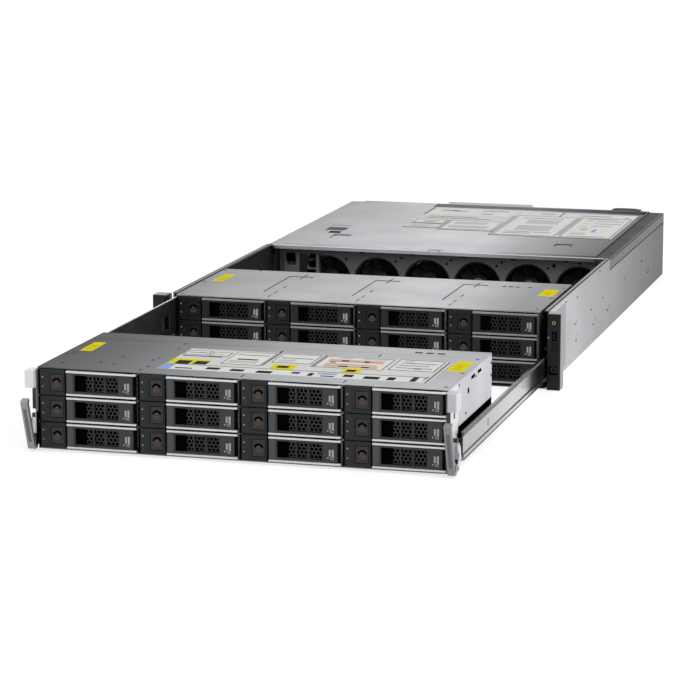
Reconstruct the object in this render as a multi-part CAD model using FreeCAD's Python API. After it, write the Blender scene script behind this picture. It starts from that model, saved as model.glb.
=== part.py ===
"""Two-unit rack server with two sliding drive bays.

The front bay is drawn out of the chassis on telescopic slides, and the second bay follows it part of
the way, so that its drives and the fans can be reached. Each bay holds twelve drive carriers.
Millimetres. X points to the right seen from the front, Y to the rear and Z up. The origin is the
middle of the chassis floor's underside.
"""

import FreeCAD
import Part
import math
import os

Vector = FreeCAD.Vector

# Chassis
chassis_length = 815.0        # ear faces to rear wall
chassis_height = 86.8
rack_width = 482.0            # over both ears
ear_overhang = 17.0           # chassis wall to the outer edge of an ear
sheet = 1.2                   # steel of chassis, lids and walls
cage_sheet = 1.0              # steel of the drive cages
running_gap = 0.4             # between parts that slide past each other
pan_setback = 24.0            # ear face to the front ends of the chassis walls
rim_width = 6.5               # turned-in top edge of the chassis walls
wall_slot_width = 3.0
wall_slots = ((101.0, 56.0, 6.0), (180.0, 42.0, 6.0), (181.0, 23.0, 8.0), (302.0, 22.0, 8.0),
              (396.0, 22.0, 8.0), (508.0, 41.0, 6.0), (638.0, 60.0, 6.0), (639.0, 45.0, 6.0),
              (694.0, 21.5, 6.0))     # behind the ear faces, above the underside, height

# Drive bays
front_bay_depth = 193.0
second_bay_depth = 188.0
bay_setback = 10.0            # ear face to the lid of the bay that stands at the front
bay_gap = 8.0                 # between the two bays when the drawer is shut
lid_gap = 1.5                 # between the shut second bay and the system cover
drawer_travel = 438.0
side_space = 9.0              # outside of the chassis walls to the cages, where the slides run
columns = 4
rows = 3
glide_size = (16.0, 30.0)     # feet under the second bay
cage_vent_margin = (8.0, 5.0)
lid_groove = (46.0, 156.0, 30.0)    # front end, rear end, length of the turned part
lid_groove_offset = 17.0      # left of the partition below
lid_groove_width = 1.0
lid_seam = 34.0               # in front of the lid's rear edge

# Drive carriers
carrier_side_gap = 0.5
carrier_row_gap = 1.0
carrier_proud = 3.0           # carrier faces stand in front of the bay's lid
latch_block_width = 28.6
latch_block_depth = 16.0
handle_gap = 1.8
handle_panel = 3.0            # thickness of the handle's front panel
handle_trim = 2.0             # height of the bright strips along the handle
handle_trim_proud = 1.0
handle_end_gap = 3.8          # dark recess at the handle's right end
window_margin = (8.6, 15.45, 4.25)    # left, right, and both above and below
drive_length = 147.0
drive_clearance = 0.2         # above and below the drive
tray_rail = 1.825             # sheet on both sides of the drive
tray_rail_margin = 1.25
tray_rail_short = 6.0         # the tray ends before the drive does
ledge_sheet = 0.6
ledge_width = 1.2
socket_depth = 5.0            # drive connectors on the backplanes
socket_size = (40.0, 6.0)
socket_place = (12.0, 4.0)
socket_gap = 0.5
button_panel = 14.5
button_depth = 2.4
button_side = 1.4             # between the button's pocket and the end of the latch block
button_margin = 4.2           # above and below the pocket
button_gap = 0.5
button_setback = 0.3

# Slides
slide_clearance = 0.6         # between the bays and the rails beside them
bracket_sheet = 0.8           # plates that join the levers and caps to the front bay
fork_sheet = 1.2              # webs and outer plates of the lever forks
rail_bottom = 6.0
rail_height = 35.0
rail_depth = 6.0
rail_length = 600.0
rail_setback = 40.0           # bay lid to the front end of the rail
rail_bead = (4.6, 3.6)        # height of the bottom and top beads of the rail
rail_groove = 1.6             # line beside each bead
rail_pads = (6.0, 62.0, 118.0)    # front ends of the pads, behind the rail's front end
rail_pad_length = 14.0
rail_pad_margin = 12.0
channel_length = 676.0
channel_sheet = 0.8
cable_plate_length = 300.0    # behind the front bay
cable_plate_setback = 60.0    # bay lid to the plate's front end
cable_plate_sheet = 1.0
cable_window = (28.0, 16.0)

# Ears, caps and release levers
ear_depth = 20.0
ear_face_depth = 3.0
ear_inset = 0.4               # between the ears and the caps of the shut front bay
ear_bottom = 2.4
ear_sheet = 1.5
ear_arm = (110.0, 8.0)        # reach behind the ear face, margin above and below
power_radius = 3.6
power_height = 77.0
port_low, port_high = 56.0, 67.0    # service port in the right ear
bar_height = 1.4
bar_pitch = 2.9
bars_low = 44.0
lamp_size = (5.0, 3.0)
lamp_pitch = 6.0
lamps_low = 40.0
cap_width = 9.5
cap_height = 18.0
cap_depth = 18.0
lever_open = 20.0             # degrees that the stored lever leans forward
lever_thickness = 5.0
lever_gap = 4.0               # between the shut lever and the cap above it
lever_pin_radius = 2.0
lever_pin_height = 8.5
pin_clearance = 0.05
rack_hole_inset = 8.45        # outer edge of the ear to the middle of its screw hole
rack_hole_height = 22.2
rack_access = 1.8             # wider than the hole, for the screwdriver
rack_hole_radius = 3.3

# Fans
fan_count = 6
fan_row_sides = (31.7, 1.3)   # free width at the left and right of the row
fan_gap = 6.1                 # between two frames
fan_height = 40.0             # centre above the chassis underside
fan_depth = 38.0
fan_wall_thickness = 1.2      # frame at its thinnest, around the duct
fan_hub = 13.0
fan_tip_gap = 0.8
fan_blades = 7
duct_sides = 24
fan_arm = 3.0                 # thickness of the arms and the motor boss
fan_rotor_setback = 5.0       # front of the frame to the rotor's nose
fan_rotor_depth = fan_depth - fan_rotor_setback - fan_arm - running_gap
blade_root = 15.0
blade_tip = 21.0
blade_thickness = 1.6
blade_pitch = 38.0            # degrees out of the rotor's plane
fan_wall_setback = 24.5       # front of the system cover to the fan wall
fan_hole_margin = 1.0         # hole in the fan wall, wider than half the frame
hole_sides = 32
fan_foot = 4.0                # the foot is shorter than the frame by this at both ends
notch = (4.0, 2.0, 3.4)       # half width at the bottom, slant, depth
notch_offset = 17.0
wall_foot = 9.0
bracket_width = 46.0          # cable bracket left of the fans
bracket_depth = 8.0
bracket_side = 8.8
bracket_drop = 12.0
bracket_hole = (12.0, 3.5)    # side of the square, margin

# System cover
skirt_height = 12.8
cover_border = 20.0           # low border on each side of the raised panel
cover_front_border = 12.0
cover_step = 1.4              # height of the raised panel
cover_lip = 3.0
vent_length = 32.0            # air openings along the rear edge
vent_rear = 4.0
vent_count = 7
vent_bar = 3.0                # between two openings
vent_from = -98.0
vent_end = 2.5                # right end of the openings to the edge of the raised panel
pull_recess = (22.0, 18.0)
pull_places = ((57.0, 488.0), (-53.0, 497.0))    # in from the panel's right or left edge, behind the ears
latch_size = (26.0, 58.0, 3.0)
latch_place = (32.0, 551.0)   # in from the raised panel's left edge, behind the ear faces
latch_setback = 0.4           # below the cover's face
latch_well_wall = 1.0
latch_well_depth = 8.0
latch_finger_gap = 11.0       # open part of the well in front of the latch
latch_pin_radius = 1.5

# Rear
supply_size = (86.0, 185.0, 38.6)
supply_gap = 1.6
supply_wall_gap = 5.0
supply_proud = 1.0
supply_handle = (41.0, 6.0, 22.0, 4.0)    # from the supply's left side, width, reach, bar
supply_inlet = (52.0, 9.5, 27.0, 19.5)    # from the left, from below, width, height
supply_fan = (21.0, 16.0)     # from the left, radius
slot_size = (80.0, 17.5)
slot_pitch = (88.0, 20.0)
slot_columns = 2
slot_rows = 3
slots_from = (-94.0, 24.5)
rear_vents = (5, 2)           # columns and rows of air openings on the left
rear_vent_margin = 12.0
rear_vent_bar = 5.0
bracket_vents = 2
card_length = 110.0
card_thickness = 1.6
retainer_reach = 23.0         # behind the rear wall
retainer_width = 128.0
hook_width = 34.0
hook_side = 60.0              # middle of the hook to the right edge of the rear panel
rear_lip = 7.5                # raised rear edge of the retainer and the hook, clear of the moved cover
port_bottom = 8.4
port_depth = 16.0
port_proud = 0.6
board_height = 6.0
board_thickness = 1.6
board_side = 6.0
board_gap = 4.0                   # between the board and the supplies
processor_size = 60.0
processor_height = 4.0
cooler_margin = 12.0
cooler_fins = 9
cooler_height = 52.0
module_size = (3.2, 133.0, 31.0)
module_pitch = 7.4
modules_per_side = 4
shroud_roof = 73.0
shroud_sheet = 1.6
shroud_length = 150.0
shroud_clearance = 0.55           # from the outermost memory module

# Places that follow from the sizes above
ear_outside = rack_width / 2
half_width = ear_outside - ear_overhang
wall_inside = half_width - sheet
ear_plane = -chassis_length / 2
rear_plane = chassis_length / 2
pan_front = ear_plane + pan_setback
second_bay_travel = front_bay_depth + bay_gap
second_bay_front = ear_plane + bay_setback
front_bay_front = second_bay_front - drawer_travel
cover_front = second_bay_front + second_bay_travel + second_bay_depth + lid_gap
fan_wall_front = cover_front + fan_wall_setback
fan_front = fan_wall_front + sheet + 2 * running_gap
cage_half = half_width - side_space
cage_bottom = sheet + running_gap
cage_floor = cage_bottom + cage_sheet
cage_top = chassis_height - sheet
column_pitch = (2 * cage_half - cage_sheet) / columns
column_clear = column_pitch - cage_sheet
row_pitch = (cage_top - cage_floor - running_gap) / rows
carrier_width = column_clear - 2 * carrier_side_gap
carrier_height = row_pitch - carrier_row_gap
drive_width = carrier_width - 2 * tray_rail
drive_height = carrier_height - 2 * drive_clearance
rail_inside = cage_half + slide_clearance
rail_outside = rail_inside + rail_depth
rail_top = rail_bottom + rail_height
bracket_outside = cage_half + bracket_sheet
cap_inside = bracket_outside + running_gap
cap_outside = cap_inside + cap_width
ear_inside = cap_outside + ear_inset
rack_hole_x = ear_outside - rack_hole_inset
cap_front = front_bay_front - bay_setback
cap_bottom = chassis_height - cap_height
panel_half = half_width - cover_border
border_top = chassis_height - cover_step
board_top = board_height + board_thickness
side_pocket = rail_inside - 2 * running_gap      # nothing fixed inside stands wider than this
fan_pitch = (2 * side_pocket - sum(fan_row_sides)) / fan_count
fan_size = fan_pitch - fan_gap
fan_bore = fan_size / 2 - fan_wall_thickness
fan_wall_hole = fan_size / 2 + fan_hole_margin


def box(x, y, z):
    """A block between pairs of X, Y and Z."""
    return Part.makeBox(x[1] - x[0], y[1] - y[0], z[1] - z[0], Vector(x[0], y[0], z[0]))


def rod(radius, start, direction, length):
    return Part.makeCylinder(radius, length, Vector(*start), Vector(*direction))


def fuse(shapes):
    joined = shapes[0]
    for shape in shapes[1:]:
        joined = joined.fuse(shape)
    return joined.removeSplitter()


def cut(shape, tools):
    return shape.cut(Part.makeCompound(tools)) if tools else shape


def both_sides(shape):
    """The shape and its mirror image across the middle plane."""
    return [shape, shape.mirror(Vector(0, 0, 0), Vector(1, 0, 0))]


def along_y(outline, start, length):
    """A bar with an X, Z outline, drawn along Y."""
    corners = [Vector(x, start, z) for x, z in outline]
    return Part.Face(Part.makePolygon(corners + corners[:1])).extrude(Vector(0, length, 0))


def along_x(outline, start, length):
    """A bar with a Y, Z outline, drawn along X."""
    corners = [Vector(start, y, z) for y, z in outline]
    return Part.Face(Part.makePolygon(corners + corners[:1])).extrude(Vector(length, 0, 0))


def bevelled(shape, width, chosen):
    """Chamfers the edges that chosen(edge) picks."""
    edges = [edge for edge in shape.Edges if chosen(edge)]
    return shape.makeChamfer(width, edges) if edges else shape


def many_sided(sides, radius, start, length):
    """A bar along Y with equal flat sides, radius to its corners. The first flat faces up."""
    turns = [2 * math.pi * (count + 0.5) / sides for count in range(sides)]
    return along_y([(radius * math.sin(turn), radius * math.cos(turn)) for turn in turns], start, length)


def runs_along(edge, axis):
    """True for a straight edge that runs along X, Y or Z."""
    if not isinstance(edge.Curve, Part.Line):
        return False
    return abs(getattr(edge.tangentAt(edge.FirstParameter), axis)) > 0.999


# ---------------------------------------------------------------- chassis

def chassis_pan():
    """The base: a floor with two walls. Their tops turn in beside the bays and step in under the cover."""
    floor = box((-half_width, half_width), (ear_plane + bay_setback / 2, rear_plane), (0, sheet))
    low_top = chassis_height - cover_step - skirt_height - running_gap
    step_inside = wall_inside - sheet - running_gap
    flange_top = border_top - sheet
    wall = box((wall_inside, half_width), (pan_front, rear_plane), (0, low_top))
    upper = box((wall_inside, half_width), (pan_front, cover_front - running_gap), (0, chassis_height))
    rim = box((half_width - rim_width, half_width), (pan_front, cover_front - running_gap),
              (cage_top, chassis_height))
    ledge = box((step_inside, half_width), (cover_front, rear_plane), (low_top - sheet, low_top))
    stand = box((step_inside, step_inside + sheet), (cover_front, rear_plane), (low_top - sheet, flange_top))
    flange = box((half_width - rim_width, step_inside + sheet), (cover_front, rear_plane),
                 (flange_top - sheet, flange_top))
    side = fuse([wall, upper, rim, ledge, stand, flange])
    slots = [box((wall_inside - sheet, half_width + sheet),
                 (ear_plane + back, ear_plane + back + wall_slot_width), (height, height + tall))
             for back, height, tall in wall_slots]
    side = cut(side, slots)
    return [fuse([floor] + both_sides(side))]


def rear_wall():
    """The rear panel, cut out for supplies, card slots and ports, with a vented field on the left."""
    plate = box((-side_pocket, side_pocket), (rear_plane - sheet, rear_plane), (sheet, border_top - sheet))
    through = (rear_plane - 2 * sheet, rear_plane + sheet)
    supply_x, _, supply_z = supply_places()
    holes = [box((supply_x - running_gap, supply_x + supply_size[0] + running_gap), through,
                 (supply_z[0] - running_gap, supply_z[1] + supply_size[2] + running_gap))]
    for x, z in slot_places():
        holes.append(box((x, x + slot_size[0]), through, (z, z + slot_size[1])))
    for x, width, height, _ in port_row():
        holes.append(box((x - running_gap, x + width + running_gap), through,
                         (board_top - running_gap, port_bottom + height + running_gap)))
    start = -side_pocket + rear_vent_margin
    pitch_x = (slots_from[0] - rear_vent_margin - start) / rear_vents[0]
    pitch_z = (border_top - sheet - rear_vent_margin / 2 - port_bottom - rear_vent_margin) / rear_vents[1]
    for column in range(rear_vents[0]):
        for row in range(rear_vents[1]):
            x = start + column * pitch_x
            z = port_bottom + rear_vent_margin + row * pitch_z
            holes.append(box((x, x + pitch_x - rear_vent_bar), through, (z, z + pitch_z - rear_vent_bar)))
    return [cut(plate, holes)]


def port_row():
    """The rear connectors: X of the left edge, width, height and the kind of mouth."""
    return [(-88.0, 17.0, 14.0, "network"), (-66.0, 17.0, 14.0, "network"), (-44.0, 14.6, 14.0, "double"),
            (-20.0, 31.0, 12.5, "video"), (18.0, 31.0, 12.5, "video"), (60.0, 17.0, 14.0, "network")]


def io_ports():
    """Connector housings that stand in the rear wall, each with an open mouth."""
    ports = []
    back = rear_plane + port_proud
    for x, width, height, kind in port_row():
        shell = box((x, x + width), (back - port_depth, back), (board_top, port_bottom + height))
        if kind == "network":
            shell = cut(shell, [box((x + 2.4, x + width - 2.4), (back - 12.0, back + 1),
                                    (port_bottom + 2.2, port_bottom + height - 3.0))])
        elif kind == "double":
            tongues = []
            for level in (port_bottom + 1.6, port_bottom + 8.0):
                mouth = box((x + 1.1, x + width - 1.1), (back - 10.0, back + 1), (level, level + 4.6))
                tongue = box((x + 2.4, x + width - 2.4), (back - 10.5, back - 1.0), (level + 2.4, level + 4.0))
                shell = shell.cut(mouth)
                tongues.append(tongue)
            shell = fuse([shell] + tongues)
        else:
            mouth = along_y([(x + 6.0, port_bottom + 2.0), (x + width - 6.0, port_bottom + 2.0),
                             (x + width - 4.6, port_bottom + height - 2.2), (x + 4.6, port_bottom + height - 2.2)],
                            back - 5.0, 6.0)
            shell = shell.cut(mouth)
        ports.append(shell)
    return ports


def fan_centres():
    first = -side_pocket + fan_row_sides[0] + fan_pitch / 2
    return [first + number * fan_pitch for number in range(fan_count)]


def fan_wall():
    """The upright sheet in front of the fans, with an opening for each and small notches along its top."""
    top = border_top - sheet - 2 * running_gap
    plate = box((-side_pocket, side_pocket), (fan_wall_front, fan_wall_front + sheet), (sheet, top))
    foot = box((-side_pocket, side_pocket), (fan_wall_front - wall_foot, fan_wall_front + sheet),
               (sheet, 2 * sheet))
    narrow, slant, depth = notch[0] / 2, notch[1], notch[2]
    holes = []
    for x in fan_centres():
        hole = many_sided(hole_sides, fan_wall_hole, fan_wall_front - 1, 4 * sheet)
        hole.translate(Vector(x, 0, fan_height))
        holes.append(hole)
        middle = x - notch_offset
        holes.append(along_y([(middle - narrow - slant, top + 1), (middle - narrow, top - depth),
                              (middle + narrow, top - depth), (middle + narrow + slant, top + 1)],
                             fan_wall_front - 1, sheet + 1 + running_gap))
    return [cut(fuse([plate, foot]), holes)]


def cable_bracket():
    """The bent guide at the left of the fan wall, with square holes for the cables that feed the bays."""
    front, back = fan_wall_front - bracket_depth, fan_wall_front
    left = -side_pocket + bracket_side
    right = left + bracket_width
    top = border_top - bracket_drop
    face = box((left, right), (front, front + sheet), (2 * sheet, top))
    side = box((right - sheet, right), (front, back), (2 * sheet, top))
    size, margin = bracket_hole
    holes = [box((left + margin, left + margin + size), (front - 1, back), (top - margin - size, top - margin))]
    for level in range(3):
        high = top - margin - level * 1.4 * size
        holes.append(box((right - margin - size, right - margin), (front - 1, front + 2 * sheet),
                         (high - size, high)))
    return [cut(fuse([face, side]), holes)]


def fan_frames():
    """Square fan housings: a duct of many flats on a foot, and behind it crossed arms with the motor boss."""
    frames = []
    half = fan_size / 2
    back = fan_front + fan_depth - fan_arm
    for x in fan_centres():
        body = box((x - half, x + half), (fan_front, back), (fan_height - half, fan_height + half))
        foot = box((x - half, x + half), (fan_front + fan_foot, back - fan_foot), (sheet, fan_height - half))
        bore = many_sided(duct_sides, fan_bore / math.cos(math.pi / duct_sides), fan_front - 1, fan_depth)
        bore.translate(Vector(x, 0, fan_height))
        duct = body.fuse(foot).cut(bore)
        boss = fan_hub - 2.0
        arms = fuse([box((x - boss, x + boss), (back, back + fan_arm), (fan_height - boss, fan_height + boss)),
                     box((x - half, x + half), (back, back + fan_arm),
                         (fan_height - fan_arm / 2, fan_height + fan_arm / 2)),
                     box((x - fan_arm / 2, x + fan_arm / 2), (back, back + fan_arm),
                         (fan_height - half, fan_height + half))])
        frames.append(duct.fuse(arms))
    return frames


def fan_blade():
    """One pitched blade above the hub: wider at the tip than at the root, with its outer corners clipped."""
    root, tip = fan_hub - 1.5, fan_bore - fan_tip_gap - 2.6
    outline = [(-blade_root / 2, root), (blade_root / 2, root), (blade_tip / 2 + 1.0, tip - 4.0),
               (blade_tip / 2 - 3.0, tip), (-blade_tip / 2, tip), (-blade_tip / 2 - 2.0, tip - 5.0)]
    corners = [Vector(x, 0, z) for x, z in outline]
    blade = Part.Face(Part.makePolygon(corners + corners[:1])).extrude(Vector(0, blade_thickness, 0))
    blade.translate(Vector(0, -blade_thickness / 2, 0))
    blade.rotate(Vector(0, 0, 0), Vector(0, 0, 1), blade_pitch)
    return blade


def fan_rotor(number):
    """A faceted hub with a bevelled nose, and a blade on every second flat. It turns on the motor boss."""
    hub = many_sided(2 * fan_blades, fan_hub, 0, fan_rotor_depth)
    hub = bevelled(hub, 2.5, lambda edge: edge.BoundBox.YMax < 0.01)
    blades = []
    for count in range(fan_blades):
        blade = fan_blade()
        blade.translate(Vector(0, fan_rotor_depth / 2 + 1.5, 0))
        blade.rotate(Vector(0, 0, 0), Vector(0, 1, 0), 360.0 * count / fan_blades)
        blades.append(blade)
    rotor = fuse([hub] + blades)
    rotor.translate(Vector(fan_centres()[number], fan_front + fan_rotor_setback, fan_height))
    return [rotor]


# ---------------------------------------------------------------- electronics

def board_span():
    """Y of the main board's front and rear edges."""
    return fan_front + fan_depth + 12.0, rear_plane - 14.0


def board_sides():
    """X of the main board's left and right edges."""
    return -side_pocket + board_side, side_pocket - supply_wall_gap - supply_size[0] - board_gap


def processor_places():
    """X and Y of the low corner of each processor socket, one in the middle of each half of the board."""
    front, _ = board_span()
    left, right = board_sides()
    half = (right - left) / 2
    y = front + board_gap + (module_size[1] - processor_size) / 2
    return [(left + (side + 0.5) * half - processor_size / 2, y) for side in (0, 1)]


def system_board():
    """The main board on stand-offs, with two processor sockets and sixteen memory modules beside them."""
    front, back = board_span()
    left, right = board_sides()
    top = board_top
    board = box((left, right), (front, back), (board_height, top))
    post = board_height
    posts = [box((x, x + post), (y, y + post), (sheet, board_height))
             for x in (left + 4 * post, (left + right) / 2, right - 5 * post)
             for y in (front + 2 * post, back - 4 * post)]
    sockets = [box((x, x + processor_size), (y, y + processor_size), (top, top + processor_height))
               for x, y in processor_places()]
    solids = [fuse([board] + posts + sockets)]
    thickness, length, height = module_size
    for x, y in processor_places():
        start = y + (processor_size - length) / 2
        for side in (x - processor_size / 2, x + processor_size + board_gap):
            for count in range(modules_per_side):
                place = side + count * module_pitch
                solids.append(box((place, place + thickness), (start, start + length), (top, top + height)))
    return solids


def heat_sinks():
    """Finned coolers on the two processors."""
    coolers = []
    base_z = board_top + processor_height
    pitch = (processor_size - sheet) / (cooler_fins - 1)
    for x, y in processor_places():
        span = (y - cooler_margin, y + processor_size + cooler_margin)
        base = box((x, x + processor_size), span, (base_z, base_z + 4 * sheet))
        fins = [box((x + count * pitch, x + count * pitch + sheet), span, (base_z, base_z + cooler_height))
                for count in range(cooler_fins)]
        coolers.append(fuse([base] + fins))
    return coolers


def air_shroud():
    """The duct lid that leads air from the fans over the coolers and memory."""
    front, _ = board_span()
    _, right = board_sides()
    left = processor_places()[0][0] - processor_size / 2 - shroud_clearance - shroud_sheet
    right -= board_gap
    slope = 12.0
    start = front - slope
    end = start + shroud_length
    roof, thick = shroud_roof, shroud_sheet
    hood = along_x([(start, roof - slope / 2), (start + slope, roof), (end, roof), (end, roof + thick),
                    (start + slope - 1, roof + thick), (start, roof - slope / 2 + thick)], left, right - left)
    walls = [box((x, x + thick), (start + slope, end), (board_top, roof)) for x in (left, right - thick)]
    return [fuse([hood] + walls)]


def slot_places():
    return [(slots_from[0] + column * slot_pitch[0], slots_from[1] + row * slot_pitch[1])
            for column in range(slot_columns) for row in range(slot_rows)]


def expansion_cards():
    """Slot brackets with vents, half of them on a card, and the retainer that stands behind the wall."""
    cards = []
    for number, (x, z) in enumerate(slot_places()):
        bracket = box((x - 1.6, x + slot_size[0] + 1.6), (rear_plane - 2 * sheet, rear_plane - sheet),
                      (z - 1.0, z + slot_size[1] + 1.0))
        share = (slot_size[0] - 12.0) / bracket_vents
        vents = [box((x + 8.0 + count * share, x + 4.0 + (count + 1) * share),
                     (rear_plane - 3 * sheet, rear_plane), (z + 4.5, z + slot_size[1] - 4.5))
                 for count in range(bracket_vents)]
        bracket = cut(bracket, vents)
        if number % 3 == 0:
            card = box((x + 2.0, x + slot_size[0] - 2.0), (rear_plane - card_length, rear_plane - 2 * sheet),
                       (z + 1.4, z + 1.4 + card_thickness))
            bracket = bracket.fuse(card)
        cards.append(bracket)
    return cards + rear_retainers()


def rear_retainers():
    """The card retainer and the cable hook behind the wall. Their rear edges turn up behind the cover."""
    low = border_top - sheet - running_gap
    high = chassis_height - running_gap
    step, end = rear_plane + retainer_reach - rear_lip, rear_plane + retainer_reach
    retainer = along_x([(rear_plane, low - 8.0), (end, low - 4.0), (end, high), (step, high), (step, low),
                        (rear_plane, low)], slots_from[0] + rear_lip, retainer_width - rear_lip)
    middle = side_pocket - hook_side + hook_width / 2
    half = hook_width / 2
    stem = box((middle - half, middle + half), (rear_plane, end), (low - 2.5, low))
    arch = along_y([(middle - half, low), (middle + half, low), (middle + half - 4.0, high),
                    (middle - half + 4.0, high)], step, rear_lip)
    return [retainer, stem.fuse(arch)]


def supply_places():
    """X of the supplies' left side, Y of their rear faces and Z of their undersides."""
    x = side_pocket - supply_wall_gap - supply_size[0]
    lower = sheet + running_gap
    return x, rear_plane + supply_proud, (lower, lower + supply_size[2] + supply_gap)


def power_supply(level):
    """A hot-swap supply: case, inlet with three pins, fan recess, pull handle and release tab."""
    x, back, heights = supply_places()
    z = heights[level]
    width, depth, height = supply_size
    case = box((x, x + width), (back - depth, back), (z, z + height))
    from_left, from_below, wide, tall = supply_inlet
    inlet = (x + from_left, z + from_below)
    case = case.cut(box((inlet[0], inlet[0] + wide), (back - 15.0, back + 1), (inlet[1], inlet[1] + tall)))
    fan_middle = (x + supply_fan[0], z + height / 2)
    case = case.cut(rod(supply_fan[1], (fan_middle[0], back - 2.0, fan_middle[1]), (0, 1, 0), 4.0))
    pins = [box((inlet[0] + 4.5 + count * 7.0, inlet[0] + 8.5 + count * 7.0), (back - 15.5, back - 4.0),
                (inlet[1] + 2.2, inlet[1] + 4.2)) for count in range(3)]
    case = fuse([case] + pins)
    from_left, wide, reach, bar = supply_handle
    handle_x = (x + from_left, x + from_left + wide)
    low, high = z + 3.0, z + height - 3.0
    handle = fuse([box(handle_x, (back, back + reach), (low, low + bar)),
                   box(handle_x, (back, back + reach), (high - bar, high)),
                   box(handle_x, (back + reach - bar, back + reach), (low, high))])
    tab = along_y([(x + 2.0, z + 1.5), (x + 6.0, z + 1.5), (x + 6.0, z + 11.0), (x + 2.0, z + 9.0)], back, 9.0)
    return [case, handle, tab]


# ---------------------------------------------------------------- system cover

def latch_hole():
    """The rectangle in the cover that the latch fills: X pair and Y pair."""
    x, y = -panel_half + latch_place[0], ear_plane + latch_place[1]
    half_x = latch_size[0] / 2 + running_gap
    half_y = latch_size[1] / 2 + running_gap
    return (x - half_x, x + half_x), (y - half_y - latch_finger_gap, y + half_y)


def latch_pin():
    """X, Y and Z of the latch's pivot, at its rear end."""
    across, along = latch_hole()
    return across[0], along[1] - 2 * latch_pin_radius - running_gap, chassis_height - sheet - latch_pin_radius


def top_cover():
    """The lid: a raised panel inside a low border, side skirts, a front lip, rear vents and the latch well."""
    low = border_top - sheet
    step_walls = [box((-panel_half, panel_half), (cover_front + cover_front_border, rear_plane),
                      (low, chassis_height))]
    border = box((-half_width, half_width), (cover_front, rear_plane), (low, border_top))
    lid = fuse([border] + step_walls)
    hollow = box((-panel_half + sheet, panel_half - sheet),
                 (cover_front + cover_front_border + sheet, rear_plane + 1), (low - 1, chassis_height - sheet))
    lid = lid.cut(hollow)
    skirts = both_sides(box((wall_inside, half_width), (cover_front, rear_plane),
                            (border_top - skirt_height, border_top)))
    lip = box((-side_pocket, side_pocket), (cover_front, cover_front + sheet), (low - cover_lip, border_top))
    lid = fuse([lid, lip] + skirts)

    across, along = latch_hole()
    wall = latch_well_wall
    floor = chassis_height - latch_well_depth
    well = box((across[0] - wall, across[1] + wall), (along[0] - wall, along[1] + wall), (floor, chassis_height))
    opening = box(across, along, (floor + wall, chassis_height + 1))
    lid = fuse([lid, well]).cut(opening)
    pin_x, pin_y, pin_z = latch_pin()
    lid = lid.fuse(rod(latch_pin_radius, (pin_x - wall / 2, pin_y, pin_z), (1, 0, 0),
                       across[1] - across[0] + wall))

    cuts = []
    vent_back = rear_plane - vent_rear
    pitch = (panel_half - vent_end + vent_bar - vent_from) / vent_count
    for count in range(vent_count):
        x = vent_from + count * pitch
        cuts.append(box((x, x + pitch - vent_bar), (vent_back - vent_length, vent_back),
                        (border_top, chassis_height + 1)))
    half_x, half_y = pull_recess[0] / 2, pull_recess[1] / 2
    for inward, y in pull_places:
        x = math.copysign(panel_half, inward) - inward
        place = ear_plane + y
        cuts.append(box((x - half_x, x + half_x), (place - half_y, place + half_y),
                        (chassis_height - sheet / 2, chassis_height + 1)))
    return [cut(lid, cuts)]


def cover_latch():
    """The latch lever, hinged at its rear, wide at the hinge with a narrower thumb end."""
    across, along = latch_hole()
    pin_x, pin_y, pin_z = latch_pin()
    left, right = across[0] + running_gap, across[1] - running_gap
    front, back = along[0] + latch_finger_gap + running_gap, along[1] - running_gap
    top = chassis_height - latch_setback
    plate = box((left, right), (front, back), (top - latch_size[2], top))
    knuckle = rod(2 * latch_pin_radius, (left, pin_y, pin_z), (1, 0, 0), right - left)
    knuckle = knuckle.common(box((left, right), (pin_y - 5, pin_y + 5), (pin_z - 5, top)))
    thumb = box((left + 6.0, right - 6.0), (front + 5.0, front + 19.0), (top - 1.4, top + 1))
    corners = [box((x, x + 5.0), (front - 1, front + 26.0), (top - 9, top + 1)) for x in (left, right - 5.0)]
    bore = rod(latch_pin_radius + pin_clearance, (left - 1, pin_y, pin_z), (1, 0, 0), right - left + 2)
    behind = box((left - 1, right + 1), (pin_y, back + 1), (top - 9, top + 1))
    behind = behind.cut(rod(2 * latch_pin_radius, (left - 1, pin_y, pin_z), (1, 0, 0), right - left + 2))
    lever = cut(fuse([plate, knuckle]), [thumb, bore, behind] + corners)
    return [lever]


# ---------------------------------------------------------------- ears

def ear_brackets():
    """Bent brackets that carry the ear panels: an arm along the chassis wall, a web and an outer side."""
    web_front = ear_plane + ear_depth - ear_sheet
    top = chassis_height
    reach, margin = ear_arm
    arm = box((half_width, half_width + ear_sheet), (web_front, ear_plane + reach), (margin, top - margin))
    web = box((half_width, ear_outside), (web_front, ear_plane + ear_depth), (ear_bottom, top))
    behind_face = (ear_plane + ear_face_depth, ear_plane + ear_depth)
    side = box((ear_outside - ear_sheet, ear_outside), behind_face, (ear_bottom, top))
    roof = box((ear_inside, ear_outside), behind_face, (top - ear_sheet, top))
    hole = rod(rack_hole_radius, (rack_hole_x, web_front - 1, rack_hole_height), (0, 1, 0), ear_sheet + 2)
    return both_sides(fuse([arm, web, side, roof]).cut(hole))


def ear_panel_body():
    """The plastic panel of an ear, on the +X side: a face with a body behind it and a screw access hole."""
    face = box((ear_inside, ear_outside), (ear_plane, ear_plane + ear_face_depth), (ear_bottom, chassis_height))
    face = bevelled(face, 0.8, lambda edge: runs_along(edge, "z") and edge.CenterOfMass.y < ear_plane + 0.1)
    body = box((ear_inside, ear_outside - ear_sheet), (ear_plane + ear_sheet, ear_plane + ear_depth - ear_sheet),
               (ear_bottom, chassis_height - ear_sheet))
    reach = rack_hole_radius + rack_access
    access = box((rack_hole_x - reach, rack_hole_x + reach), (ear_plane - 1, ear_plane + ear_depth),
                 (rack_hole_height - reach, rack_hole_height + reach))
    return fuse([face, body]).cut(access)


def ear_middle():
    return (ear_inside + ear_outside) / 2


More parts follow.
